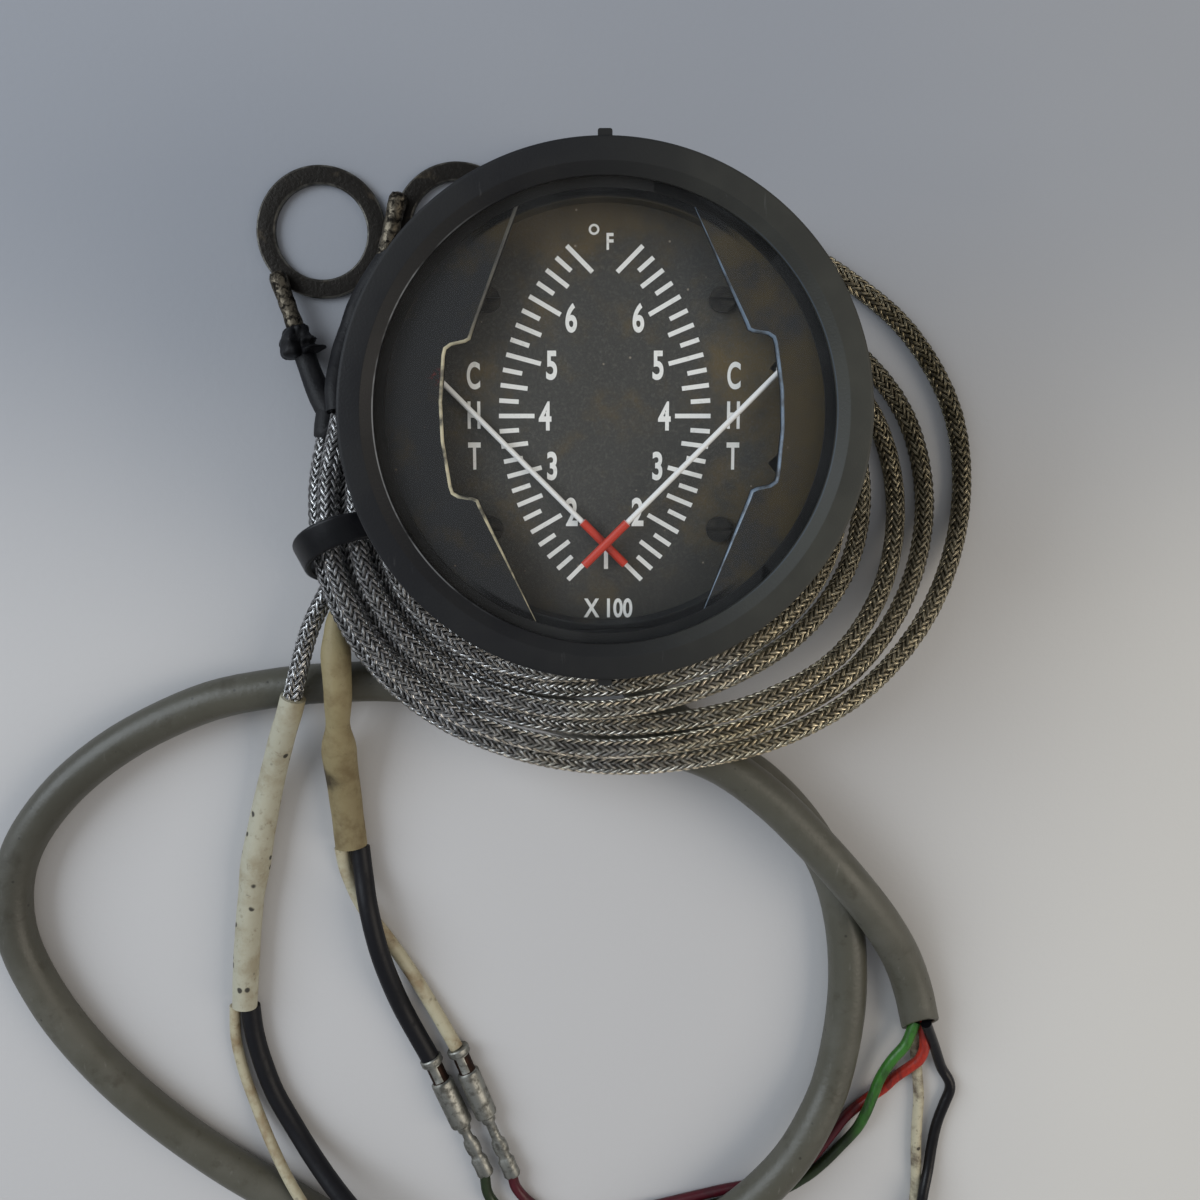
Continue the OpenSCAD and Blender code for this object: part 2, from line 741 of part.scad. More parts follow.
function ease(x) = let(t = min(1, max(0, x))) t * t * (3 - 2 * t);
function outline_r(a) = 49 + 10 * cos(a + 54) + 2.4 * cos(2 * (a + 32)) + 3.1 * cos(3 * (a + 13));
function step(a) = step_min + step_fan * pow((1 + cos(a - 350)) / 2, 2);
function lifted(a) = a < 90 ? 0 : ease((a - 150) / 65) * (1 - ease((a - 300) / 48));
function over_cables(a) = lifted(a) * (tied_z - floor_z + (over_cable_z - tied_z) * ease((a - 245) / 32));
function over_ring(a) = a > 200 ? 0 : (ring_t + soft_fit + braid_d / 2 - floor_z) * ease((a - 70) / 25);
function coil_z(a) = floor_z + max(over_ring(a), over_cables(a));
function crossing_h(a) = sqrt(max(0, strand_gap * strand_gap - step(a) * step(a)));

function coil_point(lane, turn) = let(
    a = (coil_start + 360 * turn) % 360,
    r = outline_r(a) - (lane + 2 * turn) * step(a))
    [r * cos(a), r * sin(a), coil_z(a) + lane * crossing_h(a)];

function coil_path(lane) =
    [for (i = [0 : rings_per_turn * coil_turns]) coil_point(lane, i / rings_per_turn)];

function gap(p, q) = norm(p - q) - braid_d;
function gap_to_self(path) = min([for (i = [0 : len(path) - 1 - rings_per_turn / 2])
    for (j = [i + rings_per_turn / 2 : len(path) - 1]) gap(path[i], path[j])]);
function gap_between(p, q) = min([for (a = p) for (b = q) gap(a, b)]);

module coil(lane) {
    color("darkgray") sweep_tube(coil_path(lane), braid_d, 6);
}

echo(least_gap_lead_a = gap_to_self(coil_path(0)), least_gap_lead_b = gap_to_self(coil_path(1)));
echo(least_gap_between_leads = gap_between(coil_path(0), coil_path(1)));

// Tie round the strands, an oval band square to them
tie_angle = 207;
tie_half = [10.5, 8.2];
tie_mid = [42.5, 11];

function oval(half, grow) = [for (i = [0 : 35])
    [(half.x + grow) * cos(10 * i), (half.y + grow) * sin(10 * i)]];

module lead_tie() {
    color("black") rotate([0, 0, tie_angle]) translate([tie_mid.x, 0, tie_mid.y]) rotate([90, 0, 0])
        linear_extrude(tie_w, center = true) difference() {
            polygon(oval(tie_half, tie_t));
            polygon(oval(tie_half, 0));
        }
}

// Lead ends below the coil
sleeve_a_d = 4.1;
sleeve_b_d = 5;
black_wire_d = 3;
ivory_a_d = 1.8;
ivory_b_d = 2.3;

tail_a_path = [
    [-31, -0.6, 6.7], [-31.3, -5.5, 7.2], [-32.8, -11.5, 6.9], [-35.8, -17, 6.6], [-39.6, -21.8, 6.7],
    [-43.6, -27.2, 7.2], [-46.8, -32.6, 8.1], [-49.2, -37.7, 8.8], [-50.4, -42, 8.9], [-50.9, -45.2, 8.5]];
tail_b_path = [
    [-29.2, -0.6, 10], [-29.4, -6, 10.3], [-30.9, -12, 9.5], [-33.3, -17.6, 8.5], [-35.8, -23, 7.5],
    [-39, -27.2, 7.4]];
sleeve_a_path = [
    [-51, -45.6, 8.4], [-52, -50, 6.6], [-53.9, -56, 3.9], [-55.8, -63, 2.4], [-57.4, -71, 2.1],
    [-58.5, -79, 2.1], [-59.4, -88, 2.1], [-60.2, -98, 2.1]];
sleeve_b_path = [
    [-39.2, -27.6, 7.4], [-41.5, -31.8, 8.2], [-42.8, -36.5, 9.3], [-43, -42.5, 9.7], [-42.9, -48, 8.1],
    [-42.7, -54, 5.2], [-42.3, -61, 3], [-41.4, -69.8, 2.6]];
black_a_path = [
    [-59.4, -98.2, 1.7], [-59, -103, 1.6], [-57.9, -108, 1.6], [-55.9, -114, 1.7], [-52.6, -119.8, 2.4],
    [-48.6, -125.2, 4.2], [-44, -130, 6.6], [-39.2, -134.6, 8.4], [-34.6, -140, 8.9], [-31, -146, 8.7],
    [-27, -152, 6.2], [-20.5, -157, 3.1], [-12, -159, 2]];
ivory_a_path = [
    [-62.1, -98.3, 1.4], [-62.3, -104, 1.1], [-61.3, -110, 1.1], [-59.2, -116.5, 1.6], [-56, -123, 3.6],
    [-52, -129, 6.2], [-47.6, -134.6, 7.9], [-42.6, -140.4, 8.2], [-38.2, -146.6, 7.8], [-34, -153, 5.4],
    [-28, -159.5, 3.2], [-20, -163.4, 2.2], [-12, -164.4, 2]];
black_b_path = [
    [-40.1, -70.2, 2], [-39.5, -75, 2.7], [-38.6, -80, 4.1], [-37.2, -86.5, 4.4], [-35.6, -92.5, 3.6],
    [-33.5, -99, 2.1], [-29.3, -107.4, 2]];
ivory_b_path = [
    [-43.3, -70.4, 1.6], [-42.5, -75, 1.2], [-40, -81, 1.2], [-36.2, -86.4, 1.2], [-32.2, -92.6, 1.2],
    [-28.2, -99.6, 1.4], [-24.8, -105.6, 2]];

module lead_a_tail() {
    color("darkgray") sweep_tube(tail_a_path, braid_d, 8);
}

module lead_b_tail() {
    color("darkgray") sweep_tube(tail_b_path, braid_d, 8);
}

module lead_a_sleeve() {
    color("antiquewhite") sweep_tube(sleeve_a_path, sleeve_a_d, 8);
}

module lead_b_sleeve() {
    color("antiquewhite") sweep_tube(sleeve_b_path, sleeve_b_d, 8);
}

module lead_a_black() {
    color("black") sweep_tube(black_a_path, black_wire_d, 8);
}

module lead_a_ivory() {
    color("ivory") sweep_tube(ivory_a_path, ivory_a_d, 8);
}

module lead_b_black() {
    color("black") sweep_tube(black_b_path, black_wire_d, 8);
}

module lead_b_ivory() {
    color("ivory") sweep_tube(ivory_b_path, ivory_b_d, 8);
}

// Grey cable: out from under the case, round a loop and back, where it lies on itself for a while
cable_z = cable_d / 2 + 0.1;
cable_path = [
    [0, -18, 8], [0, -22, 8], [0.6, -28, 6.2], [2.2, -35, 3.9], [5, -41.5, cable_z], [10, -47.5, cable_z],
    [17.2, -52.7, cable_z], [25.4, -58.3, cable_z], [32.1, -65.3, cable_z], [37.2, -73.8, cable_z],
    [40, -84.2, cable_z], [40.6, -96.5, cable_z], [38.8, -109, cable_z + 0.4], [35.6, -117, cable_z + 1.6],
    [30.8, -124.8, cable_z + 2.3], [23.4, -132.6, cable_z + 2.3], [15, -139, cable_z + 1.2],
    [5, -144, cable_z + 0.2], [-6, -147.2, cable_z], [-18, -147.8, cable_z],
    [-31, -144.8, cable_z], [-43, -139.4, cable_z], [-54, -132.6, cable_z], [-65.3, -125.2, cable_z],
    [-76.8, -115.8, cable_z], [-86, -106, cable_z], [-93, -95.5, cable_z], [-97.2, -84, cable_z],
    [-96, -72.1, cable_z], [-89, -61.4, cable_z], [-78.2, -52.5, cable_z], [-65, -46, cable_z],
    [-54, -43.4, cable_z], [-43, -42.3, cable_z], [-32, -42.3, cable_z], [-20, -44.2, 3.6],
    [-8.5, -46.6, 5.6], [2, -48.9, 8.6], [10.5, -50.8, 10.1], [18.6, -54, 10.2], [26.4, -59.8, 10.1],
    [33.2, -66.6, 10.1], [39.2, -73.4, 9.9], [44.6, -80.6, 7.7], [49, -88, 4.6], [51.6, -94.6, cable_z],
    [53.2, -101.2, cable_z]];

// Cores at the far end of the cable
core_black_path = [
    [54.7, -101.6, 3.9], [56.2, -105.5, 2.4], [58, -111.5, 1], [58.6, -116, 1], [57, -122, 1],
    [55.9, -129, 1.6], [54, -136, 3.1], [50.8, -143, 3.1], [45.4, -149.6, 1.8], [38, -154.8, 1],
    [31, -158, 1.4], [26, -159, 2]];
core_white_path = [
    [53.2, -101.9, 1.8], [53.9, -108, 1], [53.6, -115, 1], [53.4, -124, 1], [53, -132, 1],
    [52.8, -139.5, 1], [50.8, -147.4, 1], [46, -154.8, 1], [39.6, -160.4, 1], [32.6, -163.6, 1.4],
    [26, -164.4, 2]];
core_green_path = [
    [51.5, -102, 3.6], [49.8, -107, 3.6], [48, -112, 3.3], [46.2, -117.4, 2.6], [42.6, -123.8, 1],
    [37.2, -129.4, 1], [29.6, -132.9, 1], [20.4, -134.9, 1], [10.4, -137.6, 1], [1, -139.8, 1],
    [-8, -140.4, 1], [-15.4, -138.2, 1], [-19.6, -133.4, 1.6], [-20.4, -128.6, 2]];
core_red_path = [
    [52.9, -101.9, 5.2], [52.9, -105.4, 3.6], [50.8, -110, 1.4], [46.8, -114.6, 1], [43.4, -118.8, 1],
    [40, -122.6, 1], [35, -127.2, 1], [28.6, -130.6, 1], [19.9, -132.6, 1], [9.8, -135.2, 1],
    [1, -137.4, 1], [-6, -137.8, 1], [-11.6, -135.6, 1.1], [-14.8, -132, 1.6], [-15.7, -128.8, 2]];

module signal_cable() {
    color("gray") sweep_tube(cable_path, cable_d, 12);
}

module cable_core_black() {
    color("black") sweep_tube(core_black_path, core_wire_d, 8);
}

module cable_core_white() {
    color("white") sweep_tube(core_white_path, core_wire_d, 8);
}

module cable_core_green() {
    color("green") sweep_tube(core_green_path, core_wire_d, 8);
}

module cable_core_red() {
    color("red") sweep_tube(core_red_path, core_wire_d, 8);
}

// Cores at the gauge's end of the cable, from the tags to the jacket
core_side = 1.1;
cores_y = cable_path[0].y + face + 0.05;
cores_z = cable_path[0].z;

// A wire's first two points: its end in the barrel's mouth and a short straight step out of it
function out_of_tag(x, y) = let(
    away = [cos(tag_angle(sign(x))), sin(tag_angle(sign(x))), 0],
    mouth = [x, y, tag_z + tag_t / 2] + (barrel_at + barrel_len + face) * away)
    [mouth, mouth + core_wire_d * away];

module rear_cores() {
    color("dimgray") for (s = [-1, 1]) {
        sweep_tube(concat(out_of_tag(s * terminal_x, -terminal_y), [
            [s * core_side, cores_y + core_wire_d, cores_z + core_side],
            [s * core_side, cores_y, cores_z + core_side]]), core_wire_d, 8);
        sweep_tube(concat(out_of_tag(s * terminal_x, terminal_y), [
            [s * core_side, cores_y + 13, cores_z], [s * core_side, cores_y + 7, cores_z - core_side],
            [s * core_side, cores_y, cores_z - core_side]]), core_wire_d, 8);
    }
}

// Splices: a socket on each wire of a lead and a pin on each core of the cable
socket_r = 1.9;
socket_len = 13;
pin_r = 0.9;
barrel_pin_r = 1.5;
pin_barrel_len = 6;
splice_gap = 0.2;

// Each splice: where the wire ends, and where the core ends
splice_ends = [
    [[-29.2, -107.6, 2], [-20.3, -128.4, 2]],
    [[-24.6, -105.8, 2], [-15.7, -128.6, 2]],
    [[-11.8, -159, 2], [25.8, -159, 2]],
    [[-11.8, -164.4, 2], [25.8, -164.4, 2]]];

module at_splice(ends, from_core) {
    v = ends[1] - ends[0];
    translate(from_core ? ends[1] : ends[0]) rotate([0, 0, atan2(v.y, v.x) + (from_core ? 180 : 0)])
        rotate([0, 90, 0]) children();
}

module splice_sockets() {
    color("silver") for (e = splice_ends) at_splice(e, false) difference() {
        union() {
            cylinder(r = socket_r, h = 1.2);
            cylinder(r = socket_r - 0.4, h = socket_len);
            translate([0, 0, 4.2]) cylinder(r = socket_r, h = socket_len - 4.2);
        }
        translate([0, 0, 5]) cylinder(r = pin_r + pivot_fit, h = socket_len);
    }
}

module splice_pins() {
    color("silver") for (e = splice_ends) at_splice(e, true) {
        total = norm(e[1] - e[0]);
        cylinder(r = barrel_pin_r, h = total - socket_len - splice_gap);
        cylinder(r = pin_r, h = total - socket_len + pin_barrel_len);
    }
}

bezel();
lens();
lens_gasket();
mask();
dial();
dial_screws();
dial_pillars();
case();
chassis();
rear_cover();
rear_cover_screws();
jewel_screws();
bridge_screws();
yoke(1);  // left_yoke
magnets(1);  // left_magnets
iron_core(1);  // left_core
moving_coil(1);  // left_moving_coil
staff(1);  // left_staff
pointer(1, upper_rod_z);  // left_pointer
hairsprings(1);  // left_hairsprings
bridge(1);  // left_bridge
yoke(-1);  // right_yoke
magnets(-1);  // right_magnets
iron_core(-1);  // right_core
moving_coil(-1);  // right_moving_coil
staff(-1);  // right_staff
pointer(-1, lower_rod_z);  // right_pointer
hairsprings(-1);  // right_hairsprings
bridge(-1);  // right_bridge
terminal_studs();
terminal_nuts();
terminal_tags();
mounting_studs();
resistors();
inner_wires();
sensor_ring(ring_a_at, ring_a_turn, crimp_a_turn);  // ring_a
sensor_ring(ring_b_at, ring_b_turn, crimp_b_turn);  // ring_b
sensor_a_sleeve();
sensor_b_sleeve();
coil(0);  // lead_a_coil
coil(1);  // lead_b_coil
lead_tie();
lead_a_tail();
lead_b_tail();
lead_a_sleeve();
lead_b_sleeve();
lead_a_black();
lead_a_ivory();
lead_b_black();
lead_b_ivory();
signal_cable();
cable_core_black();
cable_core_white();
cable_core_green();
cable_core_red();
rear_cores();
splice_sockets();
splice_pins();
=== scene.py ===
"""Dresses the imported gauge: its leads and cable, bezel, glass, dial markings and every finish."""

import json
import math

import bmesh
import bpy
from mathutils import Matrix, Vector

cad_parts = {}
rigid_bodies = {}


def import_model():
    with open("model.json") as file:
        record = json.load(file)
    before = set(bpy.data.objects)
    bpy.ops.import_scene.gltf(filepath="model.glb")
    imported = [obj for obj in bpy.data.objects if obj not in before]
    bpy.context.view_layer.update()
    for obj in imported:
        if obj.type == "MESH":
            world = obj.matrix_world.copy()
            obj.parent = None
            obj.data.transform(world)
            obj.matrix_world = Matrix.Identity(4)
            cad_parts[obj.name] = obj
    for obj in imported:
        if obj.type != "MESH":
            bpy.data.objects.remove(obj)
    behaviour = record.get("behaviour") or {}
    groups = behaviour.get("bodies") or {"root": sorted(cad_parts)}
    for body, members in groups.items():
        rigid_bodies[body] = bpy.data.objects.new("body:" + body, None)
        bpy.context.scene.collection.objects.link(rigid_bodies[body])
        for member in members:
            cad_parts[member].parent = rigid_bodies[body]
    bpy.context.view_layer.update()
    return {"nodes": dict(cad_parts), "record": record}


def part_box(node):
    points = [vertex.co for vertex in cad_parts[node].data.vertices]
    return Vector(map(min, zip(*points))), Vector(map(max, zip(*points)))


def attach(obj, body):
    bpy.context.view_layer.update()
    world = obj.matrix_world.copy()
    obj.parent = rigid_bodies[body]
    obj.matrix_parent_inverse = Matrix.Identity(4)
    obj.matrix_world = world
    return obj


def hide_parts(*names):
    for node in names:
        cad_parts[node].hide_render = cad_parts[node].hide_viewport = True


bl_info = {
    "name": "Cylinder head temperature gauge",
    "version": (1, 0, 0),
    "blender": (4, 5, 0),
    "location": "3D View > Sidebar > Gauge",
    "description": "Leads, bezel, glass, dial markings and finishes round the packed gauge",
    "category": "Object",
}

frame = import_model()
nodes = frame["nodes"]

MM = 0.001
GAUGE = "gauge"
TURN = 2 * math.pi

# Levels and radii that the frame gives, in metres
bezel_low, bezel_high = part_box("bezel")
face_z = bezel_high.z
seat_z = bezel_low.z
bezel_r = bezel_high.x
lip_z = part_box("lens")[1].z
dial_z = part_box("dial")[1].z
staff_low, staff_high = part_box("left_staff")
pivot_x = (staff_low.x + staff_high.x) / 2


# Sizes and colours that a user would change


def number(name, about, default, **more):
    return bpy.props.FloatProperty(name=name, description=about, default=default, **more)


def length(name, about, millimetres):
    return number(name, about, millimetres * MM, min=0.0, unit="LENGTH", precision=5)


def angle(name, about, degrees):
    return number(name, about, math.radians(degrees), unit="ROTATION")


def colour(name, about, default):
    return bpy.props.FloatVectorProperty(
        name=name, description=about, default=default, size=3, min=0.0, max=1.0, subtype="COLOR")


class StageSettings(bpy.types.PropertyGroup):
    camera_height: length("Camera height", "Height of the camera over the table", 198)
    camera_left: length("Camera left", "How far the camera stands left of the gauge's axis", 0.56)
    camera_tilt: angle("Camera tilt", "Tilt of the camera towards the free cable", 8.45)
    lens: number("Lens", "Focal length in millimetres", 37.16)
    floor: colour("Floor", "Colour of the floor under the cable", (0.515, 0.51, 0.515))
    # Painted shade: the floor's colour behind the gauge.
    floor_shade: colour("Floor shade", "Colour of the floor behind the gauge", (0.285, 0.3, 0.335))
    window: number("Window", "Power of the cool lamp", 5.2, unit="POWER")
    room: number("Room", "Power of the warm lamp", 2.6, unit="POWER")
    sky: number("Sky", "Strength of the even light", 0.36)


class LeadSettings(bpy.types.PropertyGroup):
    braid: length("Braid", "Diameter of a braided lead", 3)
    lay: length("Lay", "Length in which a strand goes once round the braid", 12.4)
    carriers: bpy.props.IntProperty(
        name="Carriers", description="Strands that turn each way", default=10)
    strand: length("Strand", "Width of one strand of the braid", 0.64)
    strand_t: length("Strand thickness", "Thickness of one strand", 0.16)
    weave: length("Weave", "How far a strand goes over and under the others", 0.11)
    sensor: length("Sensor sleeve", "Diameter of the black sleeves at the sensors", 3.2)
    sleeve_a: length("Sleeve A", "Diameter of the first cream sleeve", 4.3)
    sleeve_b: length("Sleeve B", "Diameter of the second cream sleeve", 5.1)
    black: length("Black wire", "Diameter of the black wires", 3.2)
    ivory_a: length("Ivory wire A", "Diameter of the first ivory wire", 1.8)
    ivory_b: length("Ivory wire B", "Diameter of the second ivory wire", 2.3)
    cable: length("Cable", "Diameter of the grey cable", 6.4)
    core: length("Core", "Diameter of the cable's cores", 1.8)


class DialSettings(bpy.types.PropertyGroup):
    scale_r: length("Scale radius", "Distance of the ticks' outer ends from the pivot", 27.6)
    numeral_r: length("Numeral radius", "Distance of the numerals from the pivot", 22.15)
    numeral_h: length("Numeral height", "Height of the numerals", 3.4)
    letter_h: length("Letter height", "Height of the letters beside the scales", 3.2)
    small_h: length("Small height", "Height of the factor's lettering", 2.35)
    unit_h: length("Unit height", "Height of the unit's lettering", 1.9)
    tick_w: length("Tick width", "Width of a tick", 0.53)
    long_tick: length("Long tick", "Length of the tick at each hundred", 4.2)
    middle_tick: length("Middle tick", "Length of the tick at each fifty", 3.2)
    short_tick: length("Short tick", "Length of the other ticks", 2.3)
    tick_step: angle("Tick step", "Angle from one tick to the next", 3.75)
    numeral_step: angle("Numeral step", "Angle from one numeral to the next", 15.4)
    ink: colour("Ink", "Colour of the dial's markings", (0.78, 0.78, 0.75))
    red: colour("Red", "Colour of the pointers' ends", (0.5, 0.035, 0.015))


def settings():
    scene = bpy.context.scene
    return scene.gauge_stage, scene.gauge_leads, scene.gauge_dial


# Node trees: a socket that takes Python's operators, and one method that makes nodes


def binary(operation, swapped=False):
    """A method of Value that adds a Math node for two operands."""
    return lambda value, other: value.maths(
        operation, *((other, value) if swapped else (value, other)))


def unary(operation):
    """A method of Value that adds a Math node for the value alone."""
    return lambda value: value.maths(operation, value)


class Value:
    """One socket of a node tree. Operators on it add Math nodes."""

    def __init__(self, tree, socket):
        self.tree = tree
        self.socket = socket

    def maths(self, operation, *values):
        return self.tree.node("ShaderNodeMath", dict(enumerate(values)), operation=operation)

    __add__, __radd__ = binary("ADD"), binary("ADD", True)
    __sub__, __rsub__ = binary("SUBTRACT"), binary("SUBTRACT", True)
    __mul__, __rmul__ = binary("MULTIPLY"), binary("MULTIPLY", True)
    __truediv__, __mod__ = binary("DIVIDE"), binary("FLOORED_MODULO")
    __gt__, __lt__ = binary("GREATER_THAN"), binary("LESS_THAN")
    larger, smaller = binary("MAXIMUM"), binary("MINIMUM")
    sine, cosine = unary("SINE"), unary("COSINE")
    floor, size = unary("FLOOR"), unary("ABSOLUTE")

    def between(self, low, high):
        """0 below low, 1 above high, and smooth between them."""
        return self.tree.node(
            "ShaderNodeMapRange", {0: self, 1: low, 2: high}, interpolation_type="SMOOTHSTEP")

    def vector(self, operation, *others, out=0):
        return self.tree.node(
            "ShaderNodeVectorMath", dict(enumerate((self, *others))), out=out, operation=operation)

    def magnitude(self):
        """Length of a vector."""
        return self.vector("LENGTH", out=1)

    def scaled(self, factor):
        return self.tree.node("ShaderNodeVectorMath", {0: self, "Scale": factor}, operation="SCALE")


class Tree:
    """A node tree with one method that makes its nodes."""

    def __init__(self, tree):
        self.tree = tree

    def node(self, kind, sockets=None, out=0, **choices):
        node = self.tree.nodes.new(kind)
        for name, choice in choices.items():
            setattr(node, name, choice)
        for key, value in (sockets or {}).items():
            self.feed(node.inputs[key], value)
        return Value(self, node.outputs[out])

    def feed(self, socket, value):
        if isinstance(value, Value):
            self.tree.links.new(value.socket, socket)
        elif socket.type == "RGBA" and len(value) == 3:
            socket.default_value = (*value, 1.0)
        else:
            socket.default_value = value

    def point(self, x=0.0, y=0.0, z=0.0):
        return self.node("ShaderNodeCombineXYZ", {0: x, 1: y, 2: z})


class Finish(Tree):
    """A material: one Principled shader, with patterns on Object coordinates in metres."""

    def __init__(self, name, tint, rough=0.5, **constants):
        self.material = bpy.data.materials.new(name)
        self.material.use_nodes = True
        super().__init__(self.material.node_tree)
        self.shader = self.tree.nodes["Principled BSDF"]
        self.material.diffuse_color = (*tint, 1.0)
        self.set(Base_Color=tint, Roughness=rough, **constants)

    def set(self, **sockets):
        for name, value in sockets.items():
            self.feed(self.shader.inputs[name.replace("_", " ")], value)
        return self

    def place(self, stretch=(1, 1, 1), centre=(0, 0, 0), turn=0.0):
        coordinates = self.node("ShaderNodeTexCoord", out="Object")
        return self.node("ShaderNodeMapping", {
            "Vector": coordinates, "Location": tuple(-c for c in centre),
            "Rotation": (0.0, 0.0, turn), "Scale": stretch})

    def noise(self, grain, detail=2.0, rough=0.55, at=None, twist=0.0):
        """Cloudy pattern whose patches are about grain metres wide."""
        return self.node("ShaderNodeTexNoise", {
            "Vector": at or self.place(), "Scale": 1 / grain, "Detail": detail,
            "Roughness": rough, "Distortion": twist})

    def specks(self, spacing, share):
        """Scattered dots: share is how much of the spacing one dot may fill."""
        near = self.node("ShaderNodeTexVoronoi", {"Vector": self.place(), "Scale": 1 / spacing})
        rare = self.noise(spacing * 1.7, 0.0).between(0.55, 0.6)
        return (1 - near.between(share * 0.6, share)) * rare

    def xy(self):
        """The two level coordinates."""
        place = self.place()
        return [self.node("ShaderNodeSeparateXYZ", {0: place}, out=axis) for axis in (0, 1)]

    def from_axis(self, x=0.0, y=0.0, stretch=(1, 1, 1)):
        """Distance from an upright axis that stands at this x and y."""
        return self.place(stretch, (x, y, 0)).vector("MULTIPLY", (1, 1, 0)).magnitude()

    def attribute(self, name):
        return self.node("ShaderNodeAttribute", out="Fac", attribute_name=name)

    def mix(self, factor, first, second, way="MIX"):
        return self.node("ShaderNodeMix", {0: factor, 6: first, 7: second}, out=2, data_type="RGBA",
                         blend_type=way)

    def bump(self, height, depth):
        relief = self.node("ShaderNodeBump", {"Strength": 1.0, "Distance": depth, "Height": height})
        return self.set(Normal=relief)


class Recipe(Tree):
    """A Geometry Nodes tree with named inputs, which ends in one mesh."""

    KINDS = {"geometry": "NodeSocketGeometry", "material": "NodeSocketMaterial",
             "number": "NodeSocketFloat", "count": "NodeSocketInt"}

    def __init__(self, name, **inputs):
        super().__init__(bpy.data.node_groups.new(name, "GeometryNodeTree"))
        self.ids = {}
        for label, kind in {"geometry": "geometry", **inputs}.items():
            self.ids[label] = self.socket(label, kind, "INPUT").identifier
        self.socket("geometry", "geometry", "OUTPUT")
        self.group_in = self.tree.nodes.new("NodeGroupInput")
        self.group_out = self.tree.nodes.new("NodeGroupOutput")

    def socket(self, label, kind, way):
        return self.tree.interface.new_socket(label, in_out=way, socket_type=self.KINDS[kind])

    def __getitem__(self, label):
        return Value(self, self.group_in.outputs[label])

    def stored(self, name, kind="FLOAT"):
        return self.node("GeometryNodeInputNamedAttribute", {"Name": name}, data_type=kind)

    def store(self, geometry, name, value, kind="FLOAT"):
        return self.node("GeometryNodeStoreNamedAttribute", {
            "Geometry": geometry, "Name": name, "Value": value}, data_type=kind)

    def dressed(self, geometry, label):
        smooth = self.node("GeometryNodeSetShadeSmooth", {0: geometry})
        return self.node("GeometryNodeSetMaterial", {0: smooth, "Material": self[label]})

    def finish(self, *parts):
        joined = self.tree.nodes.new("GeometryNodeJoinGeometry")
        for part in parts:
            self.tree.links.new(part.socket, joined.inputs[0])
        self.feed(self.group_out.inputs[0], Value(self, joined.outputs[0]))
        return self

    def made(self, name, source, **values):
        """Runs the recipe on a source object and keeps the result as a plain mesh."""
        modifier = source.modifiers.new("recipe", "NODES")
        modifier.node_group = self.tree
        for label, value in values.items():
            modifier[self.ids[label]] = value
        graph = bpy.context.evaluated_depsgraph_get()
        mesh = bpy.data.meshes.new_from_object(source.evaluated_get(graph), depsgraph=graph)
        bpy.data.objects.remove(source)
        return add_piece(name, mesh)


# Meshes


def add_piece(name, mesh):
    piece = bpy.data.objects.new(name, mesh)
    bpy.context.scene.collection.objects.link(piece)
    return piece


def keep(piece, slot, *replaced):
    """The piece rides on the gauge and stands for these CAD nodes, which it hides. The slot is not
    used.
    """
    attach(piece, GAUGE)
    if replaced:
        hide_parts(*replaced)
    return piece


ON_AXIS = 1e-7


def polar(r, turn, z=0.0):
    return Vector((r * math.cos(turn), r * math.sin(turn), z))


class Shape:
    """A mesh that grows from turned outlines, swept bands and blocks."""

    def __init__(self):
        self.mesh = bmesh.new()

    def grid(self, rows, close_rows=True, caps=False):
        """Joins closed rows of points; a row of one point is a pole."""
        made = [[self.mesh.verts.new(p) for p in row] for row in rows]
        pairs = list(zip(made, made[1:]))
        if close_rows:
            pairs.append((made[-1], made[0]))
        for first, second in pairs:
            count = max(len(first), len(second))
            for k in range(count):
                corners = [first[k % len(first)], first[(k + 1) % count % len(first)],
                           second[(k + 1) % count % len(second)], second[k % len(second)]]
                corners = list(dict.fromkeys(corners))
                if len(corners) > 2:
                    self.mesh.faces.new(corners)
        if caps:
            self.mesh.faces.new(made[0])
            self.mesh.faces.new(made[-1])
        return self

    def turned(self, outline, place=Matrix.Identity(4), segments=32, closed=False):
        """Turns (radius, height) points about the place's Z axis."""
        rows = [[place @ polar(r, TURN * k / segments, z)
                 for k in range(segments if r > ON_AXIS else 1)] for r, z in outline]
        return self.grid(rows, close_rows=closed)

    def add(self, mesh):
        self.mesh.from_mesh(mesh)
        return self

    def piece(self, name, material, flat_over=35):
        bmesh.ops.remove_doubles(self.mesh, verts=self.mesh.verts, dist=1e-8)
        bmesh.ops.recalc_face_normals(self.mesh, faces=self.mesh.faces)
        data = bpy.data.meshes.new(name)
        self.mesh.to_mesh(data)
        self.mesh.free()
        data.materials.append(material)
        data.shade_smooth()
        data.set_sharp_from_angle(angle=math.radians(flat_over))
        return add_piece(name, data)


def rounded(corners, steps=5):
    """A closed outline from (x, y, fillet) corners, each fillet an arc of a few points."""
    outline = []
    for i, (x, y, fillet) in enumerate(corners):
        here = Vector((x, y))
        back = Vector(corners[i - 1][:2]) - here
        ahead = Vector(corners[(i + 1) % len(corners)][:2]) - here
        if fillet <= 0:
            outline.append((x, y))
            continue
        half = back.angle(ahead) / 2
        reach = min(fillet / math.tan(half), 0.49 * back.length, 0.49 * ahead.length)
        start, end = here + back.normalized() * reach, here + ahead.normalized() * reach
        for k in range(steps + 1):
            t = k / steps
            outline.append(tuple(start.lerp(here, t).lerp(here.lerp(end, t), t)))
    return outline


def pointing(at, direction):
    """A placement whose Z axis points along a direction."""
    return Matrix.Translation(at) @ Vector(direction).to_track_quat("Z", "Y").to_matrix().to_4x4()


# Cords: routes in millimetres, with the coils' turns worked out


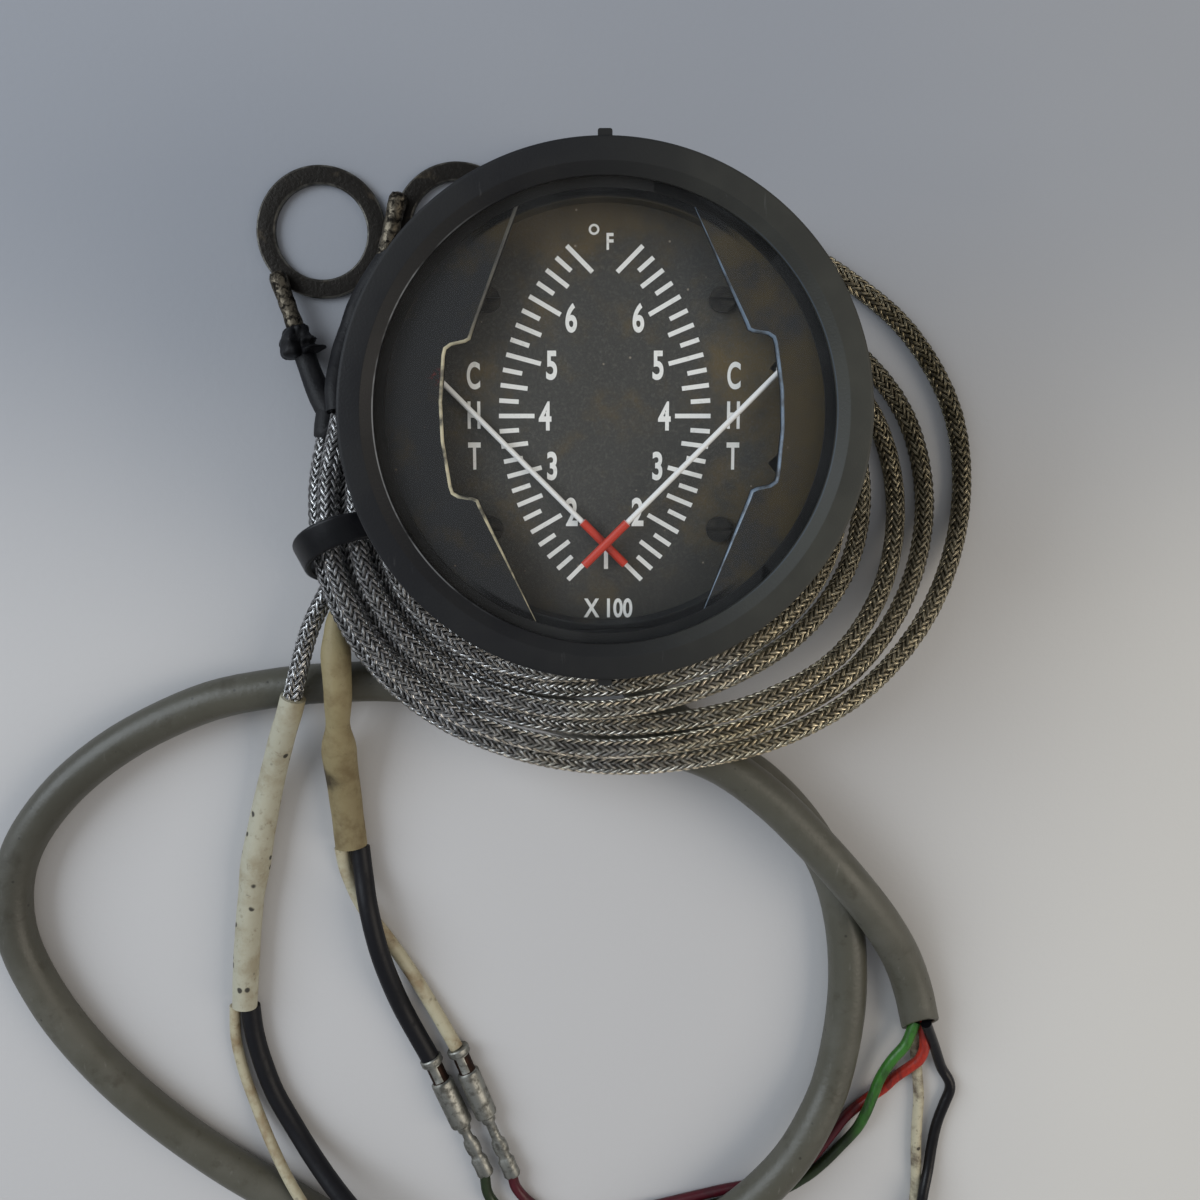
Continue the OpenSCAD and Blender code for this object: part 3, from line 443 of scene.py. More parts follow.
def smooth(points, parts=5):
    """Points in millimetres to a smooth line in metres."""
    line = [Vector(p) * MM for p in points]
    ends = [2 * line[0] - line[1], *line, 2 * line[-1] - line[-2]]
    fine = []
    for a, b, c, d in zip(ends, ends[1:], ends[2:], ends[3:]):
        for k in range(parts):
            t = k / parts
            fine.append(0.5 * (2 * b + (c - a) * t + (2 * a - 5 * b + 4 * c - d) * t * t
                               + (3 * b - a - 3 * c + d) * t ** 3))
    return fine + [line[-1]]


# Degrees round the case, and millimetres
COIL_START = 180
COIL_TURNS = 3
RINGS_PER_TURN = 24
FLOOR_Z = 1.8
TIED_Z = 12.6
OVER_CABLE_Z = 15.3
OVER_RING_Z = 3.0
STRAND_GAP = 3.7
STEP_MIN = 2.15
STEP_FAN = 2.55
FAN_MIDDLE = 350
OUTER_R = 49
OUTER_WAVES = ((10, 1, 54), (2.4, 2, 32), (3.1, 3, 13))
RING_RISE, RING_END = (70, 95), 200
TIE_RISE, CABLE_RISE, LANDING = (150, 215), (245, 277), (300, 348)


def cos_degrees(a):
    return math.cos(math.radians(a))


def ease(x):
    t = min(1.0, max(0.0, x))
    return t * t * (3 - 2 * t)


def ramp(x, low, high):
    return ease((x - low) / (high - low))


def outline_r(a):
    bulges = (size * cos_degrees(waves * (a + phase)) for size, waves, phase in OUTER_WAVES)
    return sum(bulges, OUTER_R)


def strand_step(a):
    return STEP_MIN + STEP_FAN * ((1 + cos_degrees(a - FAN_MIDDLE)) / 2) ** 2


def coil_z(a):
    """Height of a strand: on the floor, over the ring's rim, and tied and over the cable."""
    lifted = ramp(a, *TIE_RISE) * (1 - ramp(a, *LANDING))
    over_cables = lifted * (TIED_Z - FLOOR_Z + (OVER_CABLE_Z - TIED_Z) * ramp(a, *CABLE_RISE))
    over_ring = 0 if a > RING_END else (OVER_RING_Z - FLOOR_Z) * ramp(a, *RING_RISE)
    return FLOOR_Z + max(over_ring, over_cables)


# How far each strand, from the outermost inwards, lies outside the even fan
SPRUNG = (
    ((300, 0), (345, 0.9), (368, 1.3), (400, 0.5), (435, 0)),
    ((270, 0), (285, 0.2), (300, 0.65), (315, 1), (335, 0.6), (350, -0.6), (372, -3.2), (385, -5.5),
     (398, -5.6), (415, -3), (435, 0)),
    ((270, 0), (285, 0.6), (300, 1.3), (315, 2), (335, 1), (350, -1), (372, -3.4), (385, -4.6),
     (398, -4.6), (415, -2.4), (435, 0)),
    ((270, 0), (315, -0.5), (335, -0.6), (350, -1.6), (372, -3), (385, -3.7), (398, -3.7),
     (415, -2), (435, 0)),
    ((270, 0), (285, 0.2), (315, 0.55), (335, 0.3), (350, -0.8), (372, -2), (385, -2.7),
     (398, -2.7), (415, -1.4), (435, 0)),
    ((270, 0), (285, 0.5), (315, 1.5), (335, 0.9), (350, 0), (385, -1.6), (398, -1.6), (415, -0.8),
     (435, 0)))


def eased(stops, x):
    """A value between (x, value) stops."""
    for (x0, v0), (x1, v1) in zip(stops, stops[1:]):
        if x <= x1 + 1e-9:
            return v0 + (v1 - v0) * ramp(x, x0, x1)


def sprung(strand, a):
    table = SPRUNG[min(strand, len(SPRUNG) - 1)]
    a = a + 360 if a < 90 else a
    if table[0][0] <= a <= table[-1][0]:
        return eased(table, a)
    return 0


def coil_route(lane):
    """Lead A winds in lane 0 and lead B in lane 1, from the outermost turn inwards."""
    route = []
    for i in range(RINGS_PER_TURN * COIL_TURNS + 1):
        turn = i / RINGS_PER_TURN
        a = (COIL_START + 360 * turn) % 360
        step = strand_step(a)
        r = outline_r(a) - (lane + 2 * turn) * step + sprung(lane + 2 * int(turn), a)
        raised = lane * math.sqrt(max(0, STRAND_GAP ** 2 - step ** 2))
        route.append((r * cos_degrees(a), r * cos_degrees(a - 90), coil_z(a) + raised))
    return route


TAIL_A = [
    (-31, -0.6, 6.7), (-31.3, -5.5, 7.2), (-32.8, -11.5, 6.9), (-35.8, -17, 6.6),
    (-39.6, -21.8, 6.7), (-43, -27.2, 7.2), (-45.6, -32.6, 8.1), (-47.1, -37.7, 8.8),
    (-48.1, -41.6, 8.9)]
TAIL_B = [
    (-29.2, -0.6, 10), (-29.4, -6, 10.3), (-30.9, -12, 9.5), (-33.3, -17.6, 8.5), (-35.8, -23, 7.5),
    (-38.6, -26.4, 7.4)]
SENSOR_A = [
    (-46.9, 11.8, 3.1), (-45.9, 8.6, 3.3), (-44.7, 5.6, 4.2), (-43.3, 2.8, 5.4), (-42, 0.7, 6.3)]
SENSOR_B = [
    (-33.6, 23.2, 3.1), (-34.8, 21.4, 3.2), (-36.3, 19, 3.3), (-37.4, 16.5, 3.6),
    (-38.7, 12.5, 4.2), (-39.8, 8.5, 5.8), (-40.3, 4, 8.6), (-40.1, 0.6, 9.8)]
SLEEVE_A = [
    (-48.5, -43.5, 8.8), (-49.5, -46.6, 8.1), (-50.9, -50, 6.6), (-53.1, -56, 3.9),
    (-55.1, -63, 2.8), (-56.9, -71, 2.6), (-58.3, -79, 2.5), (-59.4, -88, 2.3), (-60.2, -98, 2.3)]
SLEEVE_B = [
    (-40.2, -27.9, 7.4), (-41.4, -31.8, 8.2), (-41.5, -36.5, 9.3), (-41.3, -42.5, 9.7),
    (-41.8, -48, 8.1), (-42.3, -54, 5.2), (-42.1, -61, 3), (-41.4, -69.8, 2.6)]
BLACK_A = [
    (-59.4, -98.2, 1.7), (-59, -103, 1.6), (-57.9, -108, 1.6), (-55.9, -114, 1.7),
    (-52.6, -119.8, 2.4), (-48.6, -125.2, 4.2), (-44, -130, 6.6), (-39.2, -134.6, 8.4),
    (-34.6, -140, 8.9), (-31, -146, 8.7), (-27, -152, 6.2), (-20.5, -157, 3.1), (-12, -159, 2)]
IVORY_A = [
    (-62.1, -98.3, 1.4), (-62.3, -104, 1.1), (-61.3, -110, 1.1), (-59.2, -116.5, 1.6),
    (-56, -123, 3.6), (-52, -129, 6.2), (-47.6, -134.6, 7.9), (-42.6, -140.4, 8.2),
    (-38.2, -146.6, 7.8), (-34, -153, 5.4), (-28, -159.5, 3.2), (-20, -163.4, 2.2),
    (-12, -164.4, 2)]
BLACK_B = [
    (-40.1, -70.2, 2), (-39.5, -75, 2.7), (-38.6, -80, 4.1), (-37.2, -86.5, 4.4),
    (-35.6, -92.5, 3.6), (-33.5, -99, 2.1), (-29.3, -107.4, 2)]
IVORY_B = [
    (-43.3, -70.4, 1.6), (-42.5, -75, 1.2), (-40, -81, 1.2), (-36.2, -86.4, 1.2),
    (-32.2, -92.6, 1.2), (-28.2, -99.6, 1.4), (-24.8, -105.6, 2)]
CABLE_Z = 3.3
CABLE = [
    (0, -18, 8), (0, -22, 8), (0.6, -28, 6.2), (2.2, -35, 3.9), (5, -41.5, CABLE_Z),
    (10, -47.5, CABLE_Z), (17.2, -52.7, CABLE_Z), (25.4, -58.3, CABLE_Z), (32.1, -65.3, CABLE_Z),
    (37.2, -73.8, CABLE_Z), (40, -84.2, CABLE_Z), (40.6, -96.5, CABLE_Z), (38.8, -109, 3.7),
    (35.6, -117, 4.9), (30.8, -124.8, 5.6), (23.4, -132.6, 5.6), (15, -139, 4.5), (5, -144, 3.5),
    (-6, -147.2, CABLE_Z), (-18, -147.8, CABLE_Z), (-31, -144.8, CABLE_Z), (-43, -139.4, CABLE_Z),
    (-54, -132.6, CABLE_Z), (-65.3, -125.2, CABLE_Z), (-76.8, -115.8, CABLE_Z),
    (-86, -106, CABLE_Z), (-93, -95.5, CABLE_Z), (-97.2, -84, CABLE_Z), (-96, -72.1, CABLE_Z),
    (-89, -61.4, CABLE_Z), (-78.2, -52.5, CABLE_Z), (-65, -46, CABLE_Z), (-54, -43.4, CABLE_Z),
    (-43, -42.3, CABLE_Z), (-32, -42.3, CABLE_Z), (-20, -44.2, 3.6), (-8.5, -46.6, 5.6),
    (2, -48.9, 8.6), (10.5, -50.8, 10.1), (18.6, -54, 10.2), (26.4, -59.8, 10.1),
    (33.2, -66.6, 10.1), (39.2, -73.4, 9.9), (44.6, -80.6, 7.7), (49, -88, 4.6),
    (51.6, -94.6, CABLE_Z), (53.2, -101.2, CABLE_Z)]
CORE_BLACK = [
    (54.2, -101.3, 4.5), (55.9, -105.4, 2.7), (57.5, -109.6, 1.2), (58.9, -112, 1),
    (59.2, -113.8, 1), (58.3, -116.5, 1), (57.2, -120, 1), (56.5, -123.9, 1.1), (55.9, -127.9, 1.6),
    (55, -131.4, 2.6), (54, -136, 3.1), (50.8, -143, 3.1), (45.4, -149.6, 1.8), (38, -154.8, 1),
    (31, -158, 1.4), (26, -159, 2)]
CORE_WHITE = [
    (52.3, -102, 1.7), (52.9, -106, 1), (53.4, -110, 1), (53.9, -115, 1), (53.8, -120, 1),
    (53.8, -124.4, 1), (54, -129.3, 1), (53.9, -134, 1), (53, -140, 1), (50.8, -147.4, 1),
    (46, -154.8, 1), (39.6, -160.4, 1), (32.6, -163.6, 1.4), (26, -164.4, 2)]
CORE_GREEN = [
    (51.5, -101.9, 3.6), (50.6, -104.3, 3.6), (48.5, -107.1, 3.4), (46.8, -110.4, 3),
    (45.7, -113.5, 3), (44.5, -117, 2.9), (43.2, -120.3, 2.2), (40.9, -123.9, 1.2),
    (37.9, -127.4, 1), (34.6, -130.2, 1), (29.6, -132.9, 1), (20.4, -134.9, 1), (10.4, -137.6, 1),
    (1, -139.8, 1), (-8, -140.4, 1), (-15.4, -138.2, 1), (-19.6, -133.4, 1.6), (-20.4, -128.6, 2)]
CORE_RED = [
    (53.7, -101.8, 2.9), (54, -104.9, 3), (53.3, -107.2, 2.9), (52.2, -108.6, 2.4),
    (49.7, -111.5, 1.1), (47.8, -113.5, 1), (44.6, -115.9, 1), (41.4, -118.9, 1), (39, -122.2, 1),
    (35, -127.2, 1), (28.6, -130.6, 1), (19.9, -132.6, 1), (9.8, -135.2, 1), (1, -137.4, 1),
    (-6, -137.8, 1), (-11.6, -135.6, 1.1), (-14.8, -132, 1.6), (-15.7, -128.8, 2)]

# Each core's route and its real length in metres
CORES = {"black": (CORE_BLACK, 0.074), "white": (CORE_WHITE, 0.078), "green": (CORE_GREEN, 0.098),
         "red": (CORE_RED, 0.089)}

# Each splice: where the lead's wire ends, and where the cable's core ends
SPLICES = {
    "green": ((-29.2, -107.6, 2), (-20.3, -128.4, 2)),
    "red": ((-24.6, -105.8, 2), (-15.7, -128.6, 2)),
    "black": ((-11.8, -159, 2), (25.8, -159, 2)),
    "white": ((-11.8, -164.4, 2), (25.8, -164.4, 2))}


EVEN = ((0, 1), (1, 1))
FREE_END = 5 * MM  # how far from an end a cord is fully lumpy


def line_source(path, thickness=EVEN):
    """A chain of edges that knows, at each point, the distance along it, the tube's relative
    radius between (share, factor) stops, and how free of both ends it is."""
    mesh = bpy.data.meshes.new("line")
    mesh.from_pydata(path, [(i, i + 1) for i in range(len(path) - 1)], [])
    run = [0.0]
    for a, b in zip(path, path[1:]):
        run.append(run[-1] + (b - a).length)
    stored = {"along": run, "radius": [eased(thickness, distance / run[-1]) for distance in run],
              "free": [ease(min(distance, run[-1] - distance) / FREE_END) for distance in run]}
    for name, values in stored.items():
        mesh.attributes.new(name, "FLOAT", "POINT").data.foreach_set("value", values)
    return add_piece("line", mesh)


def curve_through(recipe, step):
    curve = recipe.node("GeometryNodeMeshToCurve", {0: recipe["geometry"]})
    return recipe.node("GeometryNodeResampleCurve", {0: curve, "Length": step}, mode="LENGTH")


def tube_recipe():
    """A round tube along the line, a little lumpy, with rings at a steady step."""
    recipe = Recipe("round cord", diameter="number", sides="count", step="number", lumps="number",
                    lump_scale="number", material="material")
    curve = curve_through(recipe, recipe["step"])
    circle = recipe.node("GeometryNodeCurvePrimitiveCircle", {
        "Resolution": recipe["sides"], "Radius": recipe["diameter"] / 2})
    lump = recipe.node("ShaderNodeTexNoise", {"Scale": recipe["lump_scale"], "Detail": 1.0})
    lump = (lump - 0.5) * 2 * recipe["lumps"] * recipe.stored("free")
    radius = recipe.node("GeometryNodeInputRadius")
    tube = recipe.node("GeometryNodeCurveToMesh", {
        0: curve, 1: circle, "Scale": radius * (1 + lump), "Fill Caps": True})
    return recipe.finish(recipe.dressed(tube, "material"))


def braid_recipe():
    """A tubular braid: each strand goes over two and under two of those that turn the other way."""
    recipe = Recipe("braid", diameter="number", lay="number", carriers="count", width="number",
                    thickness="number", weave="number", material="material",
                    core_material="material")
    curve = curve_through(recipe, recipe["lay"] / recipe["carriers"] / 2)
    twins = recipe.tree.nodes.new("GeometryNodeDuplicateElements")
    twins.domain = "SPLINE"
    recipe.feed(twins.inputs["Geometry"], curve)
    recipe.feed(twins.inputs["Amount"], recipe["carriers"] * 2)
    strands, index = Value(recipe, twins.outputs[0]), Value(recipe, twins.outputs[1])
    way = 1 - 2 * (index % 2)
    carrier = (index / 2).floor()
    wound = recipe.stored("along") * TURN / recipe["lay"]
    turned = way * wound + carrier * TURN / recipe["carriers"]
    normal = recipe.node("GeometryNodeInputNormal")
    side = recipe.node("GeometryNodeInputTangent").vector("CROSS_PRODUCT", normal)
    out = normal.scaled(turned.cosine()).vector("ADD", side.scaled(turned.sine()))
    strands = recipe.store(strands, "out", out, "FLOAT_VECTOR")
    over = way * (way * wound * recipe["carriers"] / 2 + carrier * math.pi - math.pi / 4).cosine()
    middle = recipe["diameter"] / 2 - recipe["weave"] - recipe["thickness"] / 2
    lift = recipe.stored("out", "FLOAT_VECTOR").scaled(middle + over * 1.3 * recipe["weave"])
    strands = recipe.node("GeometryNodeSetPosition", {0: strands, "Offset": lift})
    strands = recipe.node("GeometryNodeSetCurveNormal", {
        0: strands, "Normal": recipe.stored("out", "FLOAT_VECTOR")}, mode="FREE")
    half, thick = recipe["width"] / 2, recipe["thickness"] / 2
    # A three-cornered section, with its ridge outwards and its corners at the strand's full width
    profile = recipe.node("GeometryNodeCurvePrimitiveCircle", {"Resolution": 3, "Radius": 1.0})
    scale = recipe.point(thick * 1.3, half * 1.155)
    profile = recipe.node("GeometryNodeTransform", {0: profile, "Scale": scale})
    across = recipe.node(
        "ShaderNodeSeparateXYZ", {0: recipe.node("GeometryNodeInputPosition")}, out="Y")
    profile = recipe.store(profile, "across", across / half)
    ribbons = recipe.node("GeometryNodeCurveToMesh", {0: strands, 1: profile, "Fill Caps": True})
    circle = recipe.node("GeometryNodeCurvePrimitiveCircle", {
        "Resolution": 8, "Radius": middle - recipe["thickness"]})
    core = recipe.node("GeometryNodeCurveToMesh", {
        0: curve_through(recipe, recipe["lay"] / 6), 1: circle, "Fill Caps": True})
    return recipe.finish(recipe.dressed(ribbons, "material"), recipe.dressed(core, "core_material"))


def cord(name, slot, path, diameter, replaced, thickness=EVEN, lumps=0.012, lump_length=9, sides=20,
         step=0.7):
    """A round cord along a path, as one mesh that stands for its CAD tube."""
    made = tube_recipe().made(
        name, line_source(path, thickness), diameter=diameter, sides=sides, step=step * MM,
        lumps=lumps, lump_scale=1 / (lump_length * MM), material=finish_for(slot))
    return keep(made, slot, *replaced)


def braided(name, path, replaced):
    leads = settings()[1]
    made = braid_recipe().made(
        name, line_source(path), diameter=leads.braid, lay=leads.lay, carriers=leads.carriers,
        width=leads.strand, thickness=leads.strand_t, weave=leads.weave,
        material=finish_for("braid"), core_material=finish_for("braid_shade"))
    made.data.attributes.remove(made.data.attributes["out"])
    return keep(made, "braid", *replaced)


# Finishes


def plain_metal(name, tint, rough, stain, patch=0.0022):
    """Turned or plated metal that has dulled in patches."""
    f = Finish(name, tint, rough, Metallic=1.0)
    dull = f.noise(patch, 3.0).between(0.42, 0.72)
    grain = f.noise(0.0004, 2.0)
    f.set(Base_Color=f.mix(dull * 0.7, tint, stain), Roughness=rough + 0.2 * dull + 0.08 * grain)
    return f.bump(grain, 0.00002)


def painted(name, tint, second, rough, patch=0.008, grain=0.00035, depth=0.00002):
    """Paint or moulded plastic of two close shades, with a fine grain."""
    f = Finish(name, tint, rough, Specular_IOR_Level=0.2)
    cloud = f.noise(patch, 4.0).between(0.35, 0.7)
    fine = f.noise(grain, 3.0)
    f.set(Base_Color=f.mix(cloud, tint, second), Roughness=rough + 0.1 * cloud - 0.06 * fine)
    return f.bump(fine, depth)


def bezel_plastic(name):
    """Matt black with dust, paler towards the right with painted warm light, a painted highlight on
    the lip's edge, and painted shade in the opening.
    """
    tint, dusty_and_lit, lip_highlight = (0.0085, 0.0088, 0.0105), (0.044, 0.044, 0.037), (0.2, 0.21, 0.22)
    lip_r, opening = 0.0262, (0.0259, 0.0261)
    f = Finish(name, tint, 0.5, Specular_IOR_Level=0.22)
    x, r = f.xy()[0], f.from_axis()
    cloud = f.noise(0.012, 4.0).between(0.35, 0.7)
    grain = f.noise(0.00028, 3.0)
    # Dust in patches and specks, and painted warm light that makes the right side paler.
    dust = x.between(-0.012, 0.031) * (0.75 + 0.25 * cloud) + cloud * 0.12
    dust = dust + grain.between(0.6, 0.8) * 0.08
    shade = f.mix(dust, tint, dusty_and_lit)
    # A painted highlight on the lip's edge at the left, and a bluish painted reflection on it at
    # the right.
    lip = 1 - (r - lip_r).size().between(0.00003, 0.0001)
    left = (0 - x).between(0.011, 0.024) * f.noise(0.004, 3.0).between(0.3, 0.6)
    right_reflection = x.between(0.012, 0.022)
    shade = f.mix(lip * left, shade, lip_highlight)
    shade = f.mix(lip * right_reflection * 0.4, shade, (0.06, 0.085, 0.12))
    # Painted shade on the bezel's inner wall, inside the opening.
    shade = f.mix((1 - r.between(*opening)) * 0.75, shade, (0.003, 0.003, 0.0034))
    scratch = f.noise(0.0006, 4.0, at=f.place((1, 0.1, 1), turn=0.6)).between(0.68, 0.8)
    f.set(Base_Color=f.mix(scratch * 0.3, shade, (0.12, 0.12, 0.12)), Roughness=0.46 + 0.12 * cloud)
    return f.bump(grain, 0.00003)


def times(tint, factor):
    return tuple(factor * c for c in tint)


def patina(f, tint):
    """Olive stain that has crept in from the right and the top."""
    x, y = f.xy()
    cloud = f.noise(0.006, 5.0, 0.65)
    blotch = cloud + x.between(0.008, 0.024) * 0.27 + y.between(0.014, 0.024) * 0.22
    olive = tuple(c * k for c, k in zip(tint, (2.1, 1.55, 0.75)))
    return f.mix(blotch.between(0.48, 0.86), tint, olive)


def mask_paint(name):
    """Dark paint, with painted shade on the wall round the dial and a painted shadow where the
    bezel shades it.
    """
    tint = (0.023, 0.024, 0.0255)
    f = Finish(name, tint, 0.6, Specular_IOR_Level=0.1)
    x, r = f.xy()[0].size(), f.from_axis()
    grain = f.noise(0.0003, 4.0)
    base = f.mix(f.specks(0.0016, 0.1) * 0.4, patina(f, tint), (0.16, 0.12, 0.09))
    # Painted shade on the wall round the dial, and a painted shadow of the bezel's lip on the
    # plates.
    wall = r.between(0.0242, 0.0246) * (1 - x.between(0.0125, 0.0165))
    shaded = wall.larger(r.between(0.0252, 0.0257) * 0.8)
    chipped = 1 - f.from_axis(-0.0182, 0.0078, (1, 1.8, 1)).between(0.0002, 0.0024)
    chipped = chipped * f.noise(0.0007, 4.0).between(0.48, 0.62)
    base = f.mix(chipped, base, (0.17, 0.015, 0.01))
    f.set(Base_Color=f.mix(shaded, base, (0.0028, 0.0028, 0.0032)), Roughness=0.55 + 0.15 * grain)
    return f.bump(grain, 0.00004)


def mask_edge(name):
    """The window's rounded edge: a yellowish painted highlight on the left, a bluish painted
    reflection on the right, and a painted shadow at top left, broken up by wear.
    """
    f = Finish(name, (0.2, 0.2, 0.19), 0.3, Specular_IOR_Level=0.5)
    x, y = f.xy()
    # Painted light: a yellowish highlight on the left and a bluish reflection on the right.
    side = f.mix(x > 0, (0.58, 0.54, 0.38), (0.14, 0.19, 0.25))
    # Wear breaks up the painted highlight, and the upper part of the left side gets a painted
    # shadow.
    worn = f.noise(0.0022, 4.0).between(0.3, 0.62) * (1 - y.between(0.007, 0.011) * (x < 0) * 0.93)
    f.set(Base_Color=f.mix(worn, (0.03, 0.03, 0.03), side), Roughness=0.25 + 0.2 * (1 - worn))
    return f.bump(f.noise(0.0004), 0.00001)


def dial_paint(name):
    tint = (0.047, 0.0465, 0.0425)
    f = Finish(name, tint, 0.65, Specular_IOR_Level=0.25)
    grain = f.noise(0.00032, 4.0)
    base = f.mix(grain.between(0.45, 0.75) * 0.5, patina(f, tint), (0.105, 0.1, 0.088))
    # Painted shade: darker towards the rim, under the mask's wall.
    edge = f.from_axis().between(0.016, 0.0245)
    base = f.mix(edge * 0.5, base, (0.028, 0.025, 0.02))
    base = f.mix(f.specks(0.0019, 0.09) * 0.6, base, (0.3, 0.26, 0.2))
    f.set(Base_Color=base, Roughness=0.6 + 0.12 * grain)
    return f.bump(grain, 0.00004)


def dial_ink(name):
    tint = tuple(settings()[2].ink)
    f = Finish(name, tint, 0.6)
    worn = f.noise(0.0006, 4.0).between(0.55, 0.8)
    f.set(Base_Color=f.mix(worn * 0.4, tint, (0.36, 0.35, 0.3)))
    return f.bump(f.noise(0.0002), 0.00001)


RED_FROM, RED_BLEND = 17.6 * MM, 0.12 * MM


def pointer_paint(name):
    red = tuple(settings()[2].red)
    white = (0.78, 0.78, 0.76)
    f = Finish(name, white, 0.5)
    from_pivot = f.from_axis(pivot_x).smaller(f.from_axis(-pivot_x))
    end = from_pivot.between(RED_FROM - RED_BLEND, RED_FROM + RED_BLEND)
    chips = f.noise(0.0005, 3.0).between(0.6, 0.8)
    rod = f.mix(chips * 0.5, white, (0.4, 0.38, 0.34))
    tip = f.mix(chips * 0.5, red, (0.2, 0.02, 0.01))
    f.set(Base_Color=f.mix(end, rod, tip), Roughness=0.45 + 0.2 * chips)
    return f.bump(chips, 0.00001)


def glass(name):
    f = Finish(name, (0.55, 0.58, 0.6), 0.04)
    grazing = f.node("ShaderNodeLayerWeight", {"Blend": 0.3}, out="Fresnel")
    dust = f.noise(0.0009, 4.0, 0.7).between(0.58, 0.85)
    smear = f.noise(0.012, 3.0, at=f.place((1, 0.4, 1), turn=0.7)).between(0.4, 0.8)
    f.set(Alpha=0.006 + 0.018 * dust + 0.01 * smear + 0.04 * grazing, Roughness=0.05 + 0.3 * dust)
    return f


def braid(name):
    """Fine tinned wires: painted shade in the gaps, painted glints on a few that are stronger
    towards the bottom, painted shade at the upper right, and yellower towards the right.
    """
    # soot is the colour of the painted shade between the wires.
    dull, bright, soot = (0.37, 0.37, 0.37), (0.97, 0.97, 0.97), (0.014, 0.012, 0.013)
    f = Finish(name, dull, 0.3, Metallic=1.0)
    x, y = f.xy()
    warm = (x / 0.05 + f.noise(0.012, 3.0) * 1.2 - 0.6).between(-0.7, 0.7)
    # Painted shade at the upper right.
    shaded = x.between(0.03, 0.05) * y.between(-0.035, 0.0)
    # Painted shade in the gaps between the wires.
    wires = (f.attribute("across") * math.pi * 3).cosine().between(-0.6, 0.6)
    # Painted glints on a few wires, stronger towards the bottom and weaker in the painted shade.
    low = 1 - y.between(-0.045, -0.02)
    glint = f.noise(0.0008, 2.0).between(0.43, 0.6) * (0.72 + low * 0.28 - shaded * 0.45)
    tint = f.mix(glint, f.mix(shaded, dull, (0.14, 0.137, 0.115)), bright)
    golden = f.mix(1.0, tint, (1.0, 0.88, 0.62), "MULTIPLY")
    tint = f.mix(warm, tint, golden)
    f.set(Base_Color=f.mix(wires, soot, tint), Roughness=0.24 + 0.2 * f.noise(0.003, 3.0))
    return f.bump(wires, 0.00004)


def ring_metal(name):
    dark, tan, bare = (0.014, 0.012, 0.01), (0.08, 0.062, 0.04), (0.2, 0.19, 0.165)
    f = Finish(name, dark, 0.45, Metallic=0.8)
    cloud = f.noise(0.0035, 5.0, 0.65, twist=0.6).between(0.55, 0.8)
    streak = f.noise(0.0012, 4.0).between(0.6, 0.8)
    edge = f.attribute("edge")
    tint = f.mix(cloud * 0.7, dark, tan)
    tint = f.mix(edge * (0.25 + 0.75 * f.noise(0.002, 3.0).between(0.4, 0.62)), tint, bare)
    f.set(Base_Color=f.mix(streak * 0.5, tint, (0.01, 0.009, 0.008)), Roughness=0.4 + 0.25 * cloud)
    return f.bump(f.noise(0.0005, 4.0), 0.00008)


def crimp_metal(name):
    f = Finish(name, (0.3, 0.26, 0.2), 0.42, Metallic=0.9)
    soot = f.noise(0.0011, 5.0, 0.65, twist=0.8).between(0.4, 0.6)
    f.set(Base_Color=f.mix(soot, (0.14, 0.12, 0.09), (0.012, 0.01, 0.008)),
          Roughness=0.42 + 0.25 * soot)
    return f.bump(f.noise(0.0006, 4.0), 0.00015)


def stained(name, tint, dirt, rough, patch, amount, speck=0.35):
    """Old pale insulation: brown dirt in patches, dark specks and small dents."""
    f = Finish(name, tint, rough, Specular_IOR_Level=0.35)
    cloud = f.noise(patch, 5.0, 0.62).between(0.4, 0.72)
    smudge = f.noise(patch * 0.3, 5.0, 0.7).between(0.56, 0.74)
    shade = f.mix(cloud * amount, tint, dirt)
    shade = f.mix(smudge * amount * 0.7, shade, times(dirt, 0.4))
    shade = f.mix(f.specks(0.0019, 0.22) * speck, shade, (0.02, 0.014, 0.01))
    f.set(Base_Color=shade, Roughness=rough + 0.15 * cloud)
    return f.bump(f.noise(0.0011, 4.0), 0.00006)


def sleeve_cream(name):
    """Cream cloth: the second sleeve, nearer the gauge, is browner and has one dark smudge."""
    tint, dirt = (0.4, 0.385, 0.3), (0.22, 0.17, 0.095)
    tan, brown = (0.26, 0.215, 0.115), (0.12, 0.075, 0.03)
    f = Finish(name, tint, 0.6, Specular_IOR_Level=0.3)
    x, y = f.xy()
    second = x.between(-0.0492, -0.0455)
    cloud = f.noise(0.005, 5.0, 0.65).between(0.42, 0.72)
    dirty_end = second * (1 - y.between(-0.062, -0.05)) * (0.3 + 0.5 * cloud)
    fleck = f.noise(0.0013, 5.0, 0.7).between(0.55, 0.72)
    shade = f.mix(cloud * 0.55, f.mix(second, tint, tan), f.mix(second, dirt, brown))
    shade = f.mix(dirty_end, shade, (0.13, 0.095, 0.045))
    shade = f.mix(fleck * 0.4, shade, (0.1, 0.065, 0.03))
    smudge = f.place(centre=(-0.0442, -0.0575, 0.005)).magnitude()
    smudge = 1 - (smudge + f.noise(0.0016, 4.0) * 0.0026).between(0.0022, 0.0046)
    shade = f.mix(smudge * 0.85, shade, (0.02, 0.013, 0.008))
    shade = f.mix(f.specks(0.0024, 0.26) * (1 - second) * 0.9, shade, (0.012, 0.01, 0.01))
    f.set(Base_Color=shade, Roughness=0.55 + 0.15 * cloud)
    return f.bump(f.noise(0.0009, 4.0), 0.00009)


